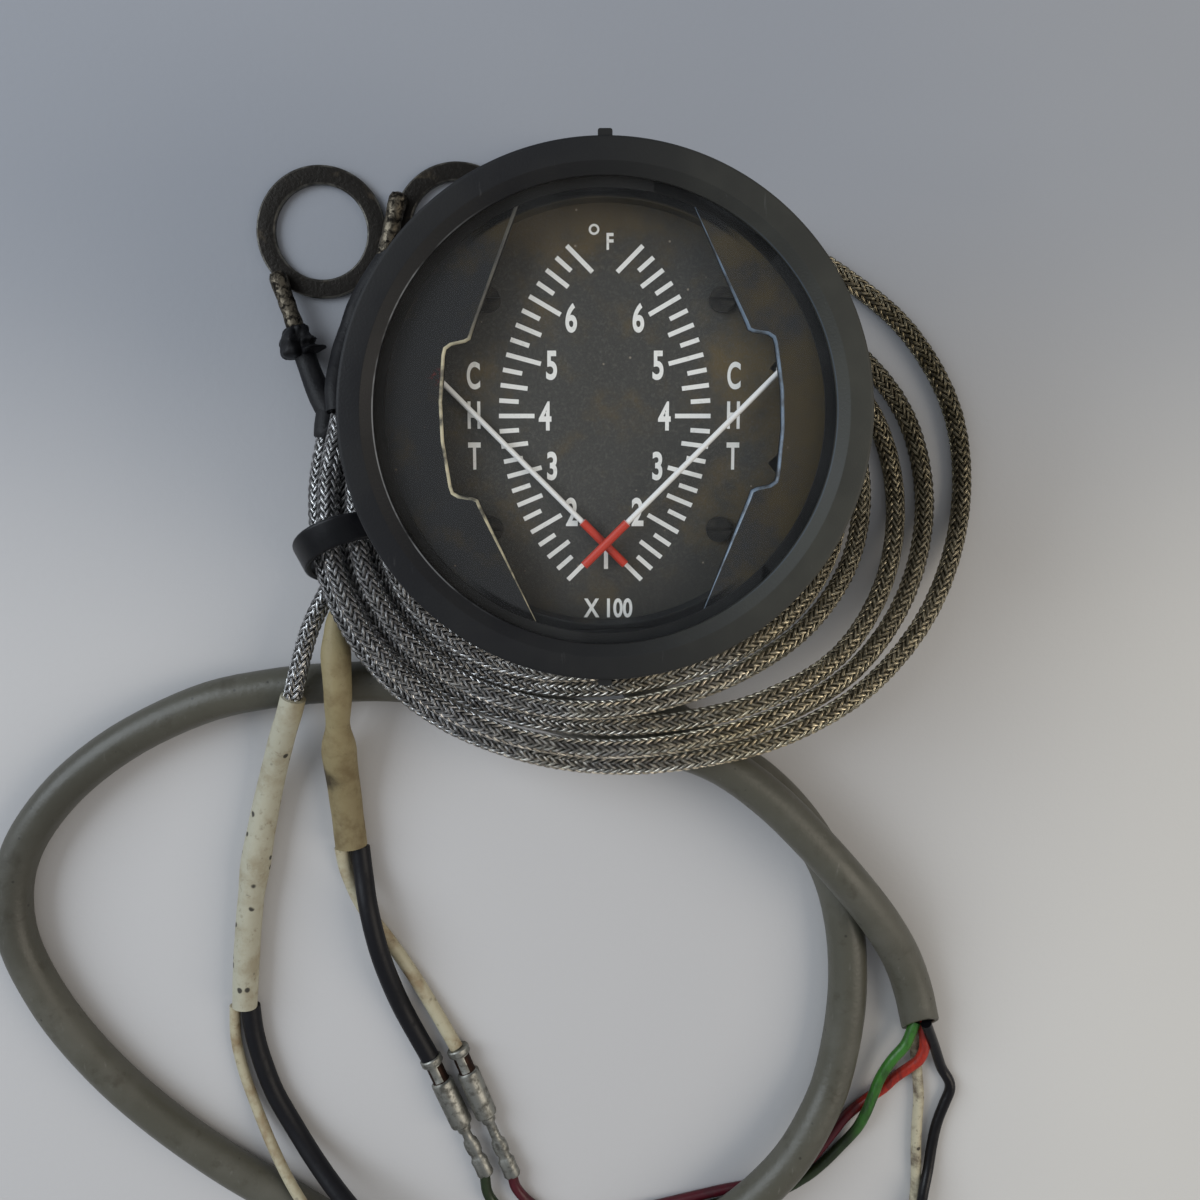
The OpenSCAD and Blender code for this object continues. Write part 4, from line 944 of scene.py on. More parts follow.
def core_stained(name, tint, dirt):
    """Bright insulation that is darker towards the left, where it runs under the cable."""
    f = Finish(name, tint, 0.38, Specular_IOR_Level=0.35)
    # Darker towards the left, where the core runs under the raised cable.
    rightward = f.xy()[0] + (f.noise(0.004, 4.0) - 0.5) * 0.006
    streak = f.noise(0.0025, 5.0, 0.65, at=f.place((1, 0.4, 1), turn=-0.5)).between(0.44, 0.64)
    shade = f.mix(rightward.between(0.0405, 0.0465), dirt, tint)
    f.set(Base_Color=f.mix(streak * 0.6, shade, times(dirt, 0.5)), Roughness=0.32 + 0.2 * streak)
    return f.bump(f.noise(0.0009, 2.0), 0.00005)


def cable_jacket(name):
    """Grey, darker with dirt in patches and darker along the far left, and scuffed."""
    tint, pale = (0.074, 0.071, 0.054), (0.112, 0.108, 0.09)
    f = Finish(name, tint, 0.42, Specular_IOR_Level=0.4)
    cloud = f.noise(0.012, 5.0, 0.6).between(0.4, 0.75)
    scuff = f.noise(0.0009, 4.0, at=f.place((1, 0.3, 1), turn=0.9)).between(0.62, 0.78)
    dirt = f.noise(0.004, 5.0, 0.65).between(0.54, 0.76)
    shade = f.mix(cloud * 0.55, tint, pale)
    shade = f.mix(dirt * 0.6, shade, (0.035, 0.029, 0.018))
    shade = f.mix(scuff * 0.35, shade, (0.19, 0.185, 0.165))
    x, y = f.xy()
    # Darker along the far left.
    far_left = (1 - x.between(-0.09, -0.05)) * y.between(-0.1, -0.08)
    shade = f.mix(far_left * 0.45, shade, (0.03, 0.029, 0.023))
    f.set(Base_Color=f.mix(f.specks(0.002, 0.14) * 0.6, shade, (0.012, 0.011, 0.009)),
          Roughness=0.36 + 0.22 * cloud)
    return f.bump(f.noise(0.0008, 4.0), 0.00006)


def stripped(name, tint, rough=0.3, shine=0.4):
    """Glossy thin insulation with faint scuffs."""
    f = Finish(name, tint, rough, Specular_IOR_Level=shine)
    scuff = f.noise(0.002, 4.0).between(0.5, 0.8)
    f.set(Base_Color=f.mix(scuff * 0.5, tint, tuple(0.55 * c + 0.004 for c in tint)),
          Roughness=rough + 0.2 * scuff)
    return f.bump(f.noise(0.0009, 2.0), 0.00004)


def dark_inside(name, tint, shades, patch, detail, grain, depth):
    """Painted shade for a hollow: a dark colour between two tints, which hardly shines."""
    f = Finish(name, tint, 0.8, Specular_IOR_Level=0.1)
    f.set(Base_Color=f.mix(f.noise(patch, detail), *shades))
    return f.bump(f.noise(grain), depth)


# Each slot's finish: the function that makes it and what it takes after the name
MAKERS = {
    "bezel_plastic": (bezel_plastic,),
    "mask_paint": (mask_paint,),
    "mask_edge": (mask_edge,),
    # Painted shade on the upright wall of the mask's window.
    "mask_wall": (painted, (0.003, 0.003, 0.0032), (0.006, 0.006, 0.006), 0.6),
    "dial_paint": (dial_paint,),
    "dial_ink": (dial_ink,),
    "pointer_paint": (pointer_paint,),
    "glass": (glass,),
    "braid": (braid,),
    "braid_shade": (dark_inside, (0.006, 0.005, 0.006),
                    ((0.003, 0.0025, 0.003), (0.012, 0.01, 0.011)), 0.001, 2.0, 0.0003, 0.00004),
    "ring_metal": (ring_metal,),
    "crimp_metal": (crimp_metal,),
    # Painted shade: the dark slot in the sockets' necks.
    "neck_slot": (plain_metal, (0.035, 0.02, 0.015), 0.5, (0.012, 0.01, 0.01)),
    "heat_shrink": (painted, (0.0045, 0.0045, 0.006), (0.011, 0.011, 0.012), 0.5, 0.003, 0.0005,
                    0.00008),
    "cable_jacket": (cable_jacket,),
    "sleeve_cream": (sleeve_cream,),
    # Painted shade inside the cable's cut end.
    "cut_inside": (dark_inside, (0.012, 0.011, 0.01),
                   ((0.004, 0.004, 0.0035), (0.025, 0.022, 0.018)), 0.0007, 3.0, 0.0006, 0.00008),
    "gasket_rubber": (painted, (0.012, 0.012, 0.012), (0.022, 0.022, 0.022), 0.7),
    "dark_screw": (painted, (0.02, 0.019, 0.017), (0.04, 0.036, 0.03), 0.4, 0.001),
    "case_metal": (painted, (0.012, 0.012, 0.013), (0.024, 0.024, 0.024), 0.4, 0.01),
    "cover_plastic": (painted, (0.014, 0.014, 0.014), (0.026, 0.025, 0.024), 0.5),
    "tie_plastic": (painted, (0.003, 0.0034, 0.0045), (0.006, 0.006, 0.0075), 0.32, 0.004),
    "steel": (plain_metal, (0.6, 0.6, 0.58), 0.28, (0.3, 0.28, 0.25)),
    "chassis_metal": (plain_metal, (0.72, 0.72, 0.73), 0.35, (0.5, 0.5, 0.5)),
    "brass": (plain_metal, (0.72, 0.52, 0.24), 0.28, (0.34, 0.22, 0.1)),
    "iron": (plain_metal, (0.36, 0.37, 0.39), 0.4, (0.2, 0.18, 0.17)),
    "magnet": (plain_metal, (0.12, 0.12, 0.13), 0.55, (0.07, 0.07, 0.07)),
    "copper": (plain_metal, (0.72, 0.32, 0.16), 0.3, (0.4, 0.16, 0.08)),
    "bronze": (plain_metal, (0.75, 0.48, 0.22), 0.3, (0.45, 0.26, 0.12)),
    "jewel": (plain_metal, (0.7, 0.5, 0.28), 0.3, (0.4, 0.28, 0.14)),
    "tinned": (plain_metal, (0.3, 0.3, 0.275), 0.42, (0.06, 0.055, 0.045), 0.0011),
    "resistor": (stripped, (0.05, 0.14, 0.07)),
    "wire_red": (stripped, (0.4, 0.03, 0.02)),
    "wire_ivory": (stained, (0.42, 0.385, 0.27), (0.2, 0.12, 0.05), 0.45, 0.004, 0.75),
    "wire_black": (stripped, (0.005, 0.005, 0.007), 0.45, 0.22),
    "core_black": (stripped, (0.004, 0.0035, 0.0045), 0.32, 0.25),
    "core_white": (stained, (0.46, 0.42, 0.3), (0.07, 0.045, 0.03), 0.4, 0.003, 1.0, 0.9),
    "core_green": (core_stained, (0.035, 0.15, 0.018), (0.02, 0.034, 0.012)),
    "core_red": (core_stained, (0.38, 0.024, 0.01), (0.07, 0.006, 0.012)),
}
made_finishes = {}


def finish_for(slot):
    if slot not in made_finishes:
        make, *values = MAKERS[slot]
        made_finishes[slot] = make(slot, *values).material
    return made_finishes[slot]


# Operators: the stage, then the pieces


FLOOR_HALF = 1.6
# Floor colours under painted warm light at the right.
FLOOR_WARM_LIT, SHADE_WARM_LIT = (0.6, 0.59, 0.57), (0.33, 0.335, 0.35)
SENSOR_WIDTH, CLIP_START = 36, 0.005


def lamp(name, at, size, power, tint):
    data = bpy.data.lights.new(name, "AREA")
    data.energy = power
    data.size = size
    data.color = tint
    lit = bpy.data.objects.new(name, data)
    lit.location = at
    lit.rotation_euler = Vector(at).to_track_quat("Z", "Y").to_euler()
    bpy.context.scene.collection.objects.link(lit)


class GAUGE_OT_stage(bpy.types.Operator):
    """Set the camera over the gauge, with a pale floor and soft light"""

    bl_idname = "gauge.stage"
    bl_label = "Stage"

    def execute(self, context):
        stage = settings()[0]
        scene = context.scene
        scene.view_settings.view_transform = "Standard"
        self.camera(scene, stage)
        self.floor(stage)
        self.room(scene, stage)
        return {"FINISHED"}

    def camera(self, scene, stage):
        data = bpy.data.cameras.new("camera")
        data.lens = stage.lens
        data.sensor_width = SENSOR_WIDTH
        data.clip_start = CLIP_START
        camera = bpy.data.objects.new("camera", data)
        camera.location = (-stage.camera_left, 0, stage.camera_height)
        camera.rotation_euler = (-stage.camera_tilt, 0, 0)
        scene.collection.objects.link(camera)
        scene.camera = camera

    def floor(self, stage):
        """A floor with painted shade, darker and bluer, behind the gauge, and painted warm light at
        the right.
        """
        floor = Finish("floor", tuple(stage.floor), 0.75)
        x, y = floor.xy()
        # Painted shade behind the gauge.
        behind = y.between(-0.045, 0.042) + (floor.noise(0.05, 3.0) - 0.5) * 0.1
        # Painted warm light at the right.
        side = x.between(0.02, 0.095)
        near = floor.mix(side, tuple(stage.floor), FLOOR_WARM_LIT)
        far = floor.mix(side * 0.6, tuple(stage.floor_shade), SHADE_WARM_LIT)
        floor.set(Base_Color=floor.mix(behind, near, far))
        floor.bump(floor.noise(0.0012, 3.0), 0.00003)
        corners = [(FLOOR_HALF * a, FLOOR_HALF * b, 0)
                   for a, b in ((-1, -1), (1, -1), (1, 1), (-1, 1))]
        mesh = bpy.data.meshes.new("floor")
        mesh.from_pydata(corners, [], [(0, 1, 2, 3)])
        mesh.materials.append(floor.material)
        add_piece("floor", mesh)

    def room(self, scene, stage):
        world = bpy.data.worlds.new("room")
        scene.world = world
        world.use_nodes = True
        background = world.node_tree.nodes["Background"]
        background.inputs["Color"].default_value = (0.93, 0.96, 1.0, 1.0)
        background.inputs["Strength"].default_value = stage.sky
        lamp("window", (-0.62, 0.22, 0.5), 0.62, stage.window, (0.84, 0.92, 1.0))
        lamp("room_lamp", (0.6, -0.12, 0.5), 0.55, stage.room, (1.0, 0.9, 0.76))


class GAUGE_OT_cable(bpy.types.Operator):
    """Lay the grey cable from behind the gauge to its cut end, with its four cores"""

    bl_idname = "gauge.cable"
    bl_label = "Grey cable"

    def execute(self, context):
        leads = settings()[1]
        path = smooth(CABLE)
        out = (path[-1] - path[-2]).normalized()
        mouth_len, seam = 4.5 * MM, 0.4 * MM
        short = [p for p in path if (p - path[-1]).length > mouth_len + seam]
        short.append(path[-1] - out * mouth_len)
        rear = self.rear_cores(leads)
        jacket = cord("cable_jacket", "cable_jacket", short, leads.cable, ["signal_cable"],
                      lumps=0.022, lump_length=16, sides=32, step=1.2)
        mouth = self.cut_end(path[-1], out, leads.cable / 2, mouth_len)
        self.cores(leads)
        return {"FINISHED"}

    def rear_cores(self, leads):
        """The cores from the terminals' tags to the jacket, each from inside its tag's barrel."""
        tag_z, tag_turn, barrel_end, inside = 11.25, 27, 10.3, 3
        straight, beside = 1.8, 1.1
        upper = ((-16.1, 9.1), (-18, 9.1))
        lower = ((-4.9, 8), (-10.9, 6.9), (-18, 6.9))
        made = []
        for core, (x, y) in zip(CORES, [(-7.5, -7), (7.5, -7), (-7.5, 7), (7.5, 7)]):
            side = math.copysign(1, x)
            away = polar(1, math.radians(270 - tag_turn * side))
            start = Vector((x, y, tag_z)) + away * (barrel_end - inside)
            points = [start, start + straight * away,
                      *((side * beside, along, z) for along, z in (upper if y < 0 else lower))]
            made.append(cord("rear_core_" + core, "core_" + core, smooth(points), leads.core,
                             ["rear_cores"], sides=12))
        return made

    def cut_end(self, at, out, r, deep):
        """The jacket's end, cut aslant so that its opening, in painted shade, shows from above."""
        wall, overlap, slant, lowest = 0.85 * MM, 1 * MM, 0.75, 0.8 * MM
        outer, inner, rounding, bottom = r - 0.02 * MM, r - wall, 0.2 * MM, -deep + 0.3 * MM
        outline = [
            (0, -deep - overlap), (outer, -deep - overlap), (outer, -rounding), (r - 0.1 * MM, 0),
            (inner + 0.08 * MM, 0.02 * MM), (inner, -rounding), (inner, bottom), (0, bottom)]
        shape = Shape().turned(outline, pointing(at, out), 48)
        made = shape.piece("jacket_end", finish_for("cable_jacket"))
        made.data.materials.append(finish_for("cut_inside"))
        # The inside faces take cut_inside's painted shade.
        for face in made.data.polygons:
            offset = Vector(face.center) - at
            if offset.cross(out).length < inner + 0.02 * MM and offset.dot(out) < -0.1 * MM:
                face.material_index = 1
        for vertex in made.data.vertices:
            offset = vertex.co - at
            vertex.co -= out * slant * (offset.z + lowest) * ease(1 + offset.dot(out) / deep)
        return keep(made, "cable_jacket")

    def cores(self, leads):
        for name, (points, real_length) in CORES.items():
            path = smooth([before(points, 2), *points])
            core = cord("core_wire_" + name, "core_" + name, path, leads.core,
                        ["cable_core_" + name], sides=16, step=0.6, lumps=0.02, lump_length=4)
            pin = splice_pin(name)


def before(points, distance):
    """A point in line with the first two, this far before the first."""
    first, second = (Vector(p) for p in points[:2])
    return tuple(first + distance * (first - second).normalized())


def in_metres(outline):
    return [(r * MM, z * MM) for r, z in outline]


SOCKET_LEN, CRIMP_END = 13 * MM, 6.6 * MM
NECK = (1.3 * MM, 4.2 * MM)


def splice_ends(name):
    return [Vector(p) * MM for p in SPLICES[name]]


def splice_pin(name):
    """A pin with two folded crimps on its core, as far as the socket takes it."""
    end, start = splice_ends(name)
    place = pointing(start, end - start)
    neck = ((end - start).length - SOCKET_LEN) / MM
    outline = in_metres([
        (0, -0.6), (1.1, -0.6), (1.3, -0.2), (1.22, 1.3), (1.3, 2.6), (1.02, 3.1), (0.9, 3.7),
        (1.12, 4.2), (1.2, 5.4), (1.1, 6.4), (0.85, 6.9), (0.8, neck - 1.6), (1.15, neck - 1.1),
        (1.2, neck - 0.3), (0.86, neck), (0.86, neck + 5), (0, neck + 5.8)])
    shape = Shape().turned(outline, place)
    folded(shape, place, CRIMP_END)
    pin = shape.piece("splice_pin_" + name, finish_for("tinned"), 40)
    return keep(pin, "tinned", "splice_pins")


def folded(shape, place, end):
    """Flattens and creases the crimps: their wings are folded down on the wire from both sides."""
    back = place.inverted()
    for vertex in shape.mesh.verts:
        at = back @ vertex.co
        if at.z < end:
            r, turn = at.xy.length, math.atan2(at.y, at.x)
            r *= 1 + 0.12 * math.cos(2 * turn) - 0.16 * max(0, math.cos(turn - 1.2)) ** 8
            vertex.co = place @ polar(r, turn, at.z)


def splice_socket(name):
    """A socket: a flared collar on the wire, a neck with painted shade for its slot, and the barrel
    that takes the pin.
    """
    start, end = splice_ends(name)
    place = pointing(start, end - start)
    outline = in_metres([
        (0, -0.3), (1.75, -0.3), (1.9, -0.1), (1.9, 0.75), (1.78, 0.95), (1.46, 1.05), (1.4, 1.3),
        (1.4, 4.1), (1.5, 4.25), (1.86, 4.5), (1.9, 4.8), (1.9, 12.5), (1.8, 12.9), (1.62, 13),
        (1.25, 12.95), (1.02, 12.6), (0.98, 6), (0, 5.6)])
    made = Shape().turned(outline, place, 48).piece("splice_socket_" + name, finish_for("tinned"))
    made.data.materials.append(finish_for("neck_slot"))
    back = place.inverted()
    neck_start, neck_end = NECK
    # The neck's faces take neck_slot's painted shade.
    for face in made.data.polygons:
        if neck_start < (back @ Vector(face.center)).z < neck_end and face.normal.z < 0.85:
            face.material_index = 1
    return keep(made, "tinned", "splice_sockets")


# Relative radius of the sleeves at shares of their length
SWELLS_A = ((0, 0.93), (0.25, 0.97), (0.42, 1.04), (0.56, 1.14), (0.68, 0.97), (0.85, 1),
            (1, 0.95))
SWELLS_B = ((0, 0.5), (0.12, 0.72), (0.21, 0.93), (0.35, 0.85), (0.47, 0.74), (0.6, 1.09),
            (0.79, 1.03), (1, 1.02))
SHRUNK = ((0, 0.96), (0.2, 1.02), (0.38, 1.16), (0.6, 1.2), (0.82, 1.08), (1, 0.94))


class GAUGE_OT_lead_ends(bpy.types.Operator):
    """Draw the cream sleeves, and the black and ivory wires that come out of them"""

    bl_idname = "gauge.lead_ends"
    bl_label = "Sleeves and wires"

    def execute(self, context):
        leads = settings()[1]
        sleeves = (
            ("a", SLEEVE_A, leads.sleeve_a, 0.055, SWELLS_A),
            ("b", SLEEVE_B, leads.sleeve_b, 0.045, SWELLS_B))
        for which, points, diameter, real_length, thickness in sleeves:
            name, path = "lead_" + which + "_sleeve", smooth(points)
            sleeve = cord(name + "_cloth", "sleeve_cream", path, diameter, [name], thickness,
                          lumps=0.045, lump_length=6, sides=28, step=0.5)
        wires = (
            ("lead_a_black", "wire_black", BLACK_A, leads.black, 0.083, "black"),
            ("lead_a_ivory", "wire_ivory", IVORY_A, leads.ivory_a, 0.091, "white"),
            ("lead_b_black", "wire_black", BLACK_B, leads.black, 0.040, "green"),
            ("lead_b_ivory", "wire_ivory", IVORY_B, leads.ivory_b, 0.040, "red"))
        for name, slot, points, diameter, real_length, splice in wires:
            path = smooth(points)
            wire = cord(name + "_wire", slot, path, diameter, [name], lumps=0.02, lump_length=6,
                        step=0.6)
            socket = splice_socket(splice)
        return {"FINISHED"}


def sensor_ring(name, at, turn, crimp_turn):
    """A ring with rounded edges, and the crimp barrel that folds up from its rim."""
    ring_r, bore_r, ring_t, fillet = 10 * MM, 7.1 * MM, 1.2 * MM, 0.35 * MM
    crimp_r, crimp_z, crimp_len = 1.4 * MM, 3.1 * MM, 9 * MM
    on_rim, strap_z = 0.4 * MM, 0.2 * MM
    centre = Vector((at[0], at[1], 0)) * MM
    section = rounded([(bore_r, 0, fillet), (ring_r, 0, fillet), (ring_r, ring_t, fillet),
                       (bore_r, ring_t, fillet)])
    shape = Shape().turned(section, Matrix.Translation(centre), 128, closed=True)
    start = centre + (ring_r - on_rim) * polar(1, math.radians(turn))
    strap = [
        (0, strap_z), (crimp_r * 0.95, strap_z), (crimp_r * 0.9, 1.4 * MM),
        (crimp_r * 0.93, crimp_z), (crimp_r * 0.7, crimp_z + 0.8 * MM), (0, crimp_z + 1.1 * MM)]
    shape.turned(strap, Matrix.Translation(start))
    barrel = [
        (0, -1.2 * MM), (crimp_r * 0.75, -1.0 * MM), (crimp_r * 0.98, -0.3 * MM),
        (crimp_r, 1 * MM), (crimp_r * 0.9, 3 * MM), (crimp_r * 0.96, 3.8 * MM),
        (crimp_r * 0.88, 5.4 * MM), (crimp_r * 0.97, 6.4 * MM), (crimp_r, crimp_len - 0.3 * MM),
        (crimp_r * 0.85, crimp_len), (0, crimp_len)]
    crimp_start = start + Vector((0, 0, crimp_z))
    shape.turned(barrel, pointing(crimp_start, polar(1, math.radians(crimp_turn))))
    piece = shape.piece(name + "_lug", finish_for("ring_metal"), 60)
    piece.data.materials.append(finish_for("crimp_metal"))
    wear = []
    for vertex in piece.data.vertices:
        r = (vertex.co.xy - centre.xy).length
        near_edge = min(abs(r - bore_r), abs(r - ring_r))
        on_top = ring_t * 0.6 < vertex.co.z < ring_t * 1.05
        wear.append(max(0.0, 1 - near_edge / fillet) if on_top else 0.0)
    piece.data.attributes.new("edge", "FLOAT", "POINT").data.foreach_set("value", wear)
    for face in piece.data.polygons:
        if face.center.z > ring_t + 0.05 * MM:
            face.material_index = 1
    return keep(piece, "ring_metal", name)


class GAUGE_OT_leads(bpy.types.Operator):
    """Wind the two braided leads round the case, with their ring sensors and the tie"""

    bl_idname = "gauge.leads"
    bl_label = "Braided leads"

    def execute(self, context):
        leads = settings()[1]
        tie = self.tie()
        ring_a = sensor_ring("ring_a", (-43.5, 28), 229, 288)
        ring_b = sensor_ring("ring_b", (-22.5, 28.5), 156, 256)
        for which, lane, tail, sensor, ring, reach, real_length, (entry, inside) in (
                ("a", 0, TAIL_A, SENSOR_A, ring_a, 6, 0.843, SLEEVE_A[:2]),
                ("b", 1, TAIL_B, SENSOR_B, ring_b, 2, 0.770, SLEEVE_B[:2])):
            path = smooth([inside, *reversed(tail), *reversed(coil_route(lane))], 4)
            lead = braided("lead_" + which + "_braid", path,
                           ["lead_" + which + "_coil", "lead_" + which + "_tail"])
            sleeve_name = "sensor_" + which + "_sleeve"
            over_braid = smooth([before(sensor, 1.6), *sensor])
            over_braid += [p for p in reversed(path)
                           if 0.9 * MM < (p - path[-1]).length < reach * MM]
            sleeve = cord(sleeve_name + "_shrunk", "heat_shrink", over_braid, leads.sensor * 1.05,
                          [sleeve_name], SHRUNK, lumps=0.05, lump_length=3, step=0.4)
            on_it = [sleeve, ring] + ([tie, self.torn_collar()] if which == "a" else [])
        return {"FINISHED"}

    def torn_collar(self):
        """The split and curled end of the first sensor's sleeve, with tabs at both sides."""
        start, ahead = (Vector(p) * MM for p in SENSOR_A[:2])
        place = pointing(start - (ahead - start).normalized() * 2.4 * MM, ahead - start)
        # Each tab: direction in degrees, reach, middle and breadth along the sleeve
        tabs = ((180, 1.9, 2.6, 1.5), (205, 1.5, 4.4, 0.9), (350, 1.7, 3.0, 0.5),
                (12, 1.9, 4.6, 0.45))
        around, along, tall, wall_r = 64, 20, 5.6, 1.72
        rows = []
        for i in range(along + 1):
            z = tall * i / along
            row = []
            for k in range(around):
                turn = TURN * k / around
                r = wall_r + 0.1 * math.sin(5 * turn + 2 * z) + 0.08 * math.sin(9 * turn - 3 * z)
                flat = place @ polar(1, turn) - place.translation
                compass = math.atan2(flat.y, flat.x)
                for where, reach, middle, breadth in tabs:
                    lobe = max(0, math.cos(compass - math.radians(where))) ** 6
                    r += reach * lobe * math.exp(-((z - middle) / breadth) ** 2)
                r *= min(1, 0.25 + 1.6 * min(i, along - i) / along * 4)
                row.append(place @ (polar(r, turn, z) * MM))
            rows.append(row)
        shape = Shape().grid(rows, close_rows=False, caps=True)
        return keep(shape.piece("torn_collar", finish_for("heat_shrink"), 60), "heat_shrink")

    def tie(self):
        """An oval band of soft plastic, which sits aslant on the strands that it holds."""
        half_x, half_z, thick, wide = 7.9 * MM, 8.2 * MM, 1.1 * MM, 4.3 * MM
        middle = Vector((41.8, 0, 11)) * MM
        spin = Matrix.Rotation(math.radians(207), 4, "Z")
        inside, outside, count = 0.3 * MM, 0.45 * MM, 96
        section = rounded([(0, -wide / 2, inside), (thick, -wide / 2, outside),
                           (thick, wide / 2, outside), (0, wide / 2, inside)])
        rows = []
        for k in range(count):
            a = TURN * k / count
            aslant = (0.9 - 3.8 * math.sin(a) - 1.4 * math.cos(a)) * MM
            rows.append([spin @ (middle + Vector(((half_x + out) * math.cos(a), across + aslant,
                                                  (half_z + out) * math.sin(a))))
                         for out, across in section])
        piece = Shape().grid(rows).piece("tie_band", finish_for("tie_plastic"), 60)
        return keep(piece, "tie_plastic", "lead_tie")


class GAUGE_OT_bezel(bpy.types.Operator):
    """Turn the bezel with its flat front, shallow bevel and moulding nibs"""

    bl_idname = "gauge.bezel"
    bl_label = "Bezel"

    def execute(self, context):
        lip_r, flat_r, hook_r, pocket_r = 26.1 * MM, 27.5 * MM, 26.9 * MM, 27.6 * MM
        slope_t, hook_t = 0.9 * MM, 0.8 * MM
        section = rounded([
            (lip_r, lip_z, 0), (lip_r, face_z - slope_t, 0.2 * MM), (flat_r, face_z, 0.25 * MM),
            (bezel_r, face_z, 0.42 * MM), (bezel_r, seat_z, 0.3 * MM), (hook_r, seat_z, 0.2 * MM),
            (hook_r, seat_z + hook_t, 0.1 * MM), (pocket_r, seat_z + hook_t, 0),
            (pocket_r, lip_z, 0)])
        shape = Shape().turned(section, segments=256, closed=True)
        bezel = shape.piece("bezel_ring", finish_for("bezel_plastic"), 40)
        keep(bezel, "bezel_plastic", "bezel")
        self.nibs()
        return {"FINISHED"}

    def nibs(self):
        shape = Shape()
        wide, out, tall, sunk, below = 1.6 * MM, 0.75 * MM, 3.4 * MM, 0.3 * MM, 0.4 * MM
        for side in (-1, 1):
            corners = rounded([(-wide / 2, 0, 0), (wide / 2, 0, 0), (wide / 2, out + sunk, sunk),
                               (-wide / 2, out + sunk, sunk)])
            base = side * (bezel_r - sunk)
            rows = [[Vector((x, base + side * y, z)) for x, y in corners]
                    for z in (face_z - tall, face_z - below)]
            shape.grid(rows, close_rows=False, caps=True)
        keep(shape.piece("bezel_nibs", finish_for("bezel_plastic")), "bezel_plastic", "bezel")


class GAUGE_OT_mask(bpy.types.Operator):
    """Round the edges of the mask's window, which catch the light, with painted highlights on them
    and painted shade on the window's wall
    """

    bl_idname = "gauge.mask"
    bl_label = "Mask"

    def execute(self, context):
        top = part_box("mask")[1].z
        window_r, edge_r, edge_size = 24 * MM, 24.2 * MM, 0.34 * MM
        shape = Shape().add(nodes["mask"].data)
        made = shape.mesh
        bmesh.ops.remove_doubles(made, verts=made.verts, dist=1e-6)
        bmesh.ops.dissolve_limit(made, angle_limit=0.02, verts=made.verts, edges=made.edges)
        window = [e for e in made.edges if len(e.link_faces) == 2 and e.calc_face_angle() > 1
                  and all(v.co.z > top - 0.02 * MM for v in e.verts)
                  and any(v.co.xy.length < window_r for v in e.verts)]
        bmesh.ops.bevel(made, geom=window, offset=edge_size, offset_type="OFFSET", segments=3,
                        profile=0.5, affect="EDGES")
        made.normal_update()
        for face in made.faces:
            if face.calc_center_median().xy.length < edge_r and face.normal.z < 0.99:
                # The bevel takes mask_edge's painted highlights, and the upright wall takes
                # mask_wall's painted shade.
                face.material_index = 1 if face.normal.z > 0.15 else 2
        piece = shape.piece("mask_plates", finish_for("mask_paint"))
        piece.data.materials.append(finish_for("mask_edge"))
        piece.data.materials.append(finish_for("mask_wall"))
        keep(piece, "mask_paint", "mask")
        return {"FINISHED"}


def tick_recipe():
    """Ticks along an arc: the first and every fourth one long, every second one middle-sized."""
    recipe = Recipe("scale ticks", count="count", start="number", step="number", radius="number",
                    centre="number", long="number", middle="number", short="number", width="number",
                    thickness="number", level="number", material="material")
    index = recipe.node("GeometryNodeInputIndex")
    turn = recipe["start"] + index * recipe["step"]
    long, middle = index % 4 < 0.5, index % 2 < 0.5
    tall = recipe["short"] + middle * (recipe["middle"] - recipe["short"])
    tall = tall + long * (recipe["long"] - recipe["middle"])
    reach = recipe["radius"] - tall / 2
    at = recipe.point(
        recipe["centre"] + reach * turn.cosine(), reach * turn.sine(), recipe["level"])
    points = recipe.node("GeometryNodePoints", {"Count": recipe["count"]})
    points = recipe.store(points, "tall", tall)
    points = recipe.store(points, "turn", turn)
    points = recipe.node("GeometryNodeSetPosition", {0: points, "Position": at})
    block = recipe.node("GeometryNodeMeshCube", {"Size": (1, 1, 1)})
    turned = recipe.node("FunctionNodeEulerToRotation", {0: recipe.point(z=recipe.stored("turn"))})
    ticks = recipe.node("GeometryNodeInstanceOnPoints", {
        "Points": points, "Instance": block, "Rotation": turned,
        "Scale": recipe.point(recipe.stored("tall"), recipe["width"], recipe["thickness"])})
    ticks = recipe.node("GeometryNodeRealizeInstances", {0: ticks})
    ticks = recipe.node("GeometryNodeSetMaterial", {0: ticks, "Material": recipe["material"]})
    return recipe.finish(ticks)


PRINT_T, PRINT_WEIGHT = 0.03 * MM, 0.026
# Ticks at each side of a scale's middle one, and the value that the middle one stands for
HALF_SCALE, MIDDLE_VALUE = 12, 4


def lettering(shape, text, at, height, widen):
    """Adds flat printed characters of a given height, centred on a point of the dial."""
    data = bpy.data.curves.new("lettering", "FONT")
    data.body = text
    data.align_x = "CENTER"
    data.offset = PRINT_WEIGHT
    data.extrude = 0.02
    holder = add_piece("lettering", data)
    graph = bpy.context.evaluated_depsgraph_get()
    mesh = bpy.data.meshes.new_from_object(holder.evaluated_get(graph), depsgraph=graph)
    bpy.data.objects.remove(holder)
    low, high = (Vector([pick(v.co[k] for v in mesh.vertices) for k in range(3)])
                 for pick in (min, max))
    tall = height / (high.y - low.y)
    middle = (low + high) / 2
    scale = Matrix.Diagonal((tall * widen, tall, tall * 0.3, 1))
    mesh.transform(Matrix.Translation((at[0], at[1], dial_z + PRINT_T / 2)) @ scale
                   @ Matrix.Translation(-middle))
    shape.add(mesh)


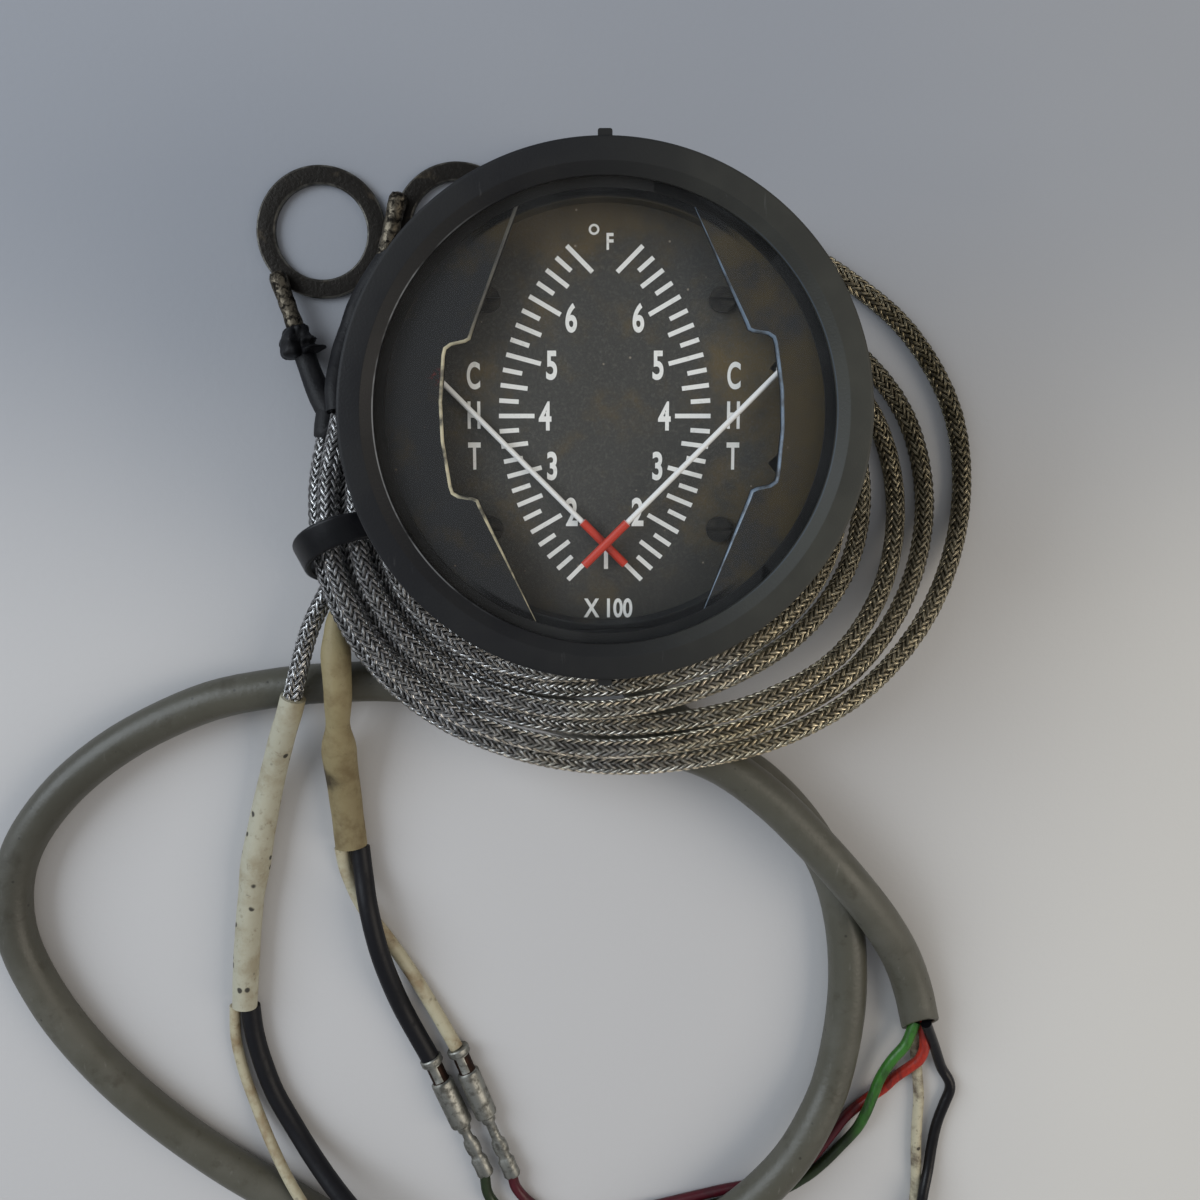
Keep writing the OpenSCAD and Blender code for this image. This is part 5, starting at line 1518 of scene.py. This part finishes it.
class GAUGE_OT_dial(bpy.types.Operator):
    """Print the two scales, their numerals and the letters beside them"""

    bl_idname = "gauge.dial"
    bl_label = "Dial markings"

    def execute(self, context):
        dial = settings()[2]
        recipe = tick_recipe()
        for name, side in (("left_scale", 1), ("right_scale", -1)):
            middle = math.pi if side > 0 else 0.0
            ticks = recipe.made(
                name, add_piece("host", bpy.data.meshes.new("host")), count=2 * HALF_SCALE + 1,
                start=middle - HALF_SCALE * dial.tick_step, step=dial.tick_step,
                radius=dial.scale_r, centre=side * pivot_x, long=dial.long_tick,
                middle=dial.middle_tick, short=dial.short_tick, width=dial.tick_w,
                thickness=PRINT_T, level=dial_z + PRINT_T / 2, material=finish_for("dial_ink"))
            keep(ticks, "dial_paint")
        shape = Shape()
        for side in (-1, 1):
            for value in (6, 5, 4, 3, 2):
                turn = (value - MIDDLE_VALUE) * dial.numeral_step
                x = side * (pivot_x - dial.numeral_r * math.cos(turn))
                y = dial.numeral_r * math.sin(turn)
                lettering(shape, str(value), (x, y), dial.numeral_h, 0.64)
        letters = [(letter, x, y, dial.letter_h, 0.55)
                   for x in (-15.45, 15.2) for letter, y in (("C", 4.7), ("H", 0.1), ("T", -4.7))]
        for text, x, y, height, widen in (("1", 0.16, -16.5, dial.numeral_h, 0.7), *letters,
                                          ("F", 0.6, 20.0, dial.unit_h, 0.75),
                                          ("X 100", 0.41, -22.95, dial.small_h, 0.74)):
            lettering(shape, text, (x * MM, y * MM), height, widen)
        self.degree_ring(shape)
        keep(shape.piece("dial_lettering", finish_for("dial_ink")), "dial_paint")
        return {"FINISHED"}

    def degree_ring(self, shape):
        r, width = 0.62 * MM, 0.26 * MM
        section = [(r - width, 0), (r, 0), (r, PRINT_T), (r - width, PRINT_T)]
        shape.turned(section, Matrix.Translation((-1.25 * MM, 21.35 * MM, dial_z)), 32, closed=True)


class GAUGE_OT_finishes(bpy.types.Operator):
    """Give every piece that keeps its CAD shape its own finish"""

    bl_idname = "gauge.finishes"
    bl_label = "Finishes"

    def execute(self, context):
        for part in frame["record"]["subparts"]:
            node = nodes[part["node"]]
            node.data.materials.clear()
            node.data.materials.append(finish_for(part["material_slot"]))
        return {"FINISHED"}


class GAUGE_PT_panel(bpy.types.Panel):
    """Lists the steps that dress the gauge"""

    bl_idname = "GAUGE_PT_panel"
    bl_label = "Gauge"
    bl_space_type = "VIEW_3D"
    bl_region_type = "UI"
    bl_category = "Gauge"

    def draw(self, context):
        for operator in OPERATORS:
            self.layout.operator(operator.bl_idname)


OPERATORS = (GAUGE_OT_stage, GAUGE_OT_cable, GAUGE_OT_lead_ends, GAUGE_OT_leads, GAUGE_OT_bezel,
             GAUGE_OT_mask, GAUGE_OT_dial, GAUGE_OT_finishes)
GROUPS = {"gauge_stage": StageSettings, "gauge_leads": LeadSettings, "gauge_dial": DialSettings}


def register():
    for group in GROUPS.values():
        bpy.utils.register_class(group)
    for name, group in GROUPS.items():
        setattr(bpy.types.Scene, name, bpy.props.PointerProperty(type=group))
    for item in (*OPERATORS, GAUGE_PT_panel):
        bpy.utils.register_class(item)


def unregister():
    for item in (GAUGE_PT_panel, *reversed(OPERATORS)):
        bpy.utils.unregister_class(item)
    for name, group in GROUPS.items():
        delattr(bpy.types.Scene, name)
        bpy.utils.unregister_class(group)


def main():
    register()
    bpy.ops.gauge.stage()
    bpy.ops.gauge.cable()
    bpy.ops.gauge.lead_ends()
    bpy.ops.gauge.leads()
    bpy.ops.gauge.bezel()
    bpy.ops.gauge.mask()
    bpy.ops.gauge.dial()
    bpy.ops.gauge.finishes()


if __name__ == "__main__":
    main()
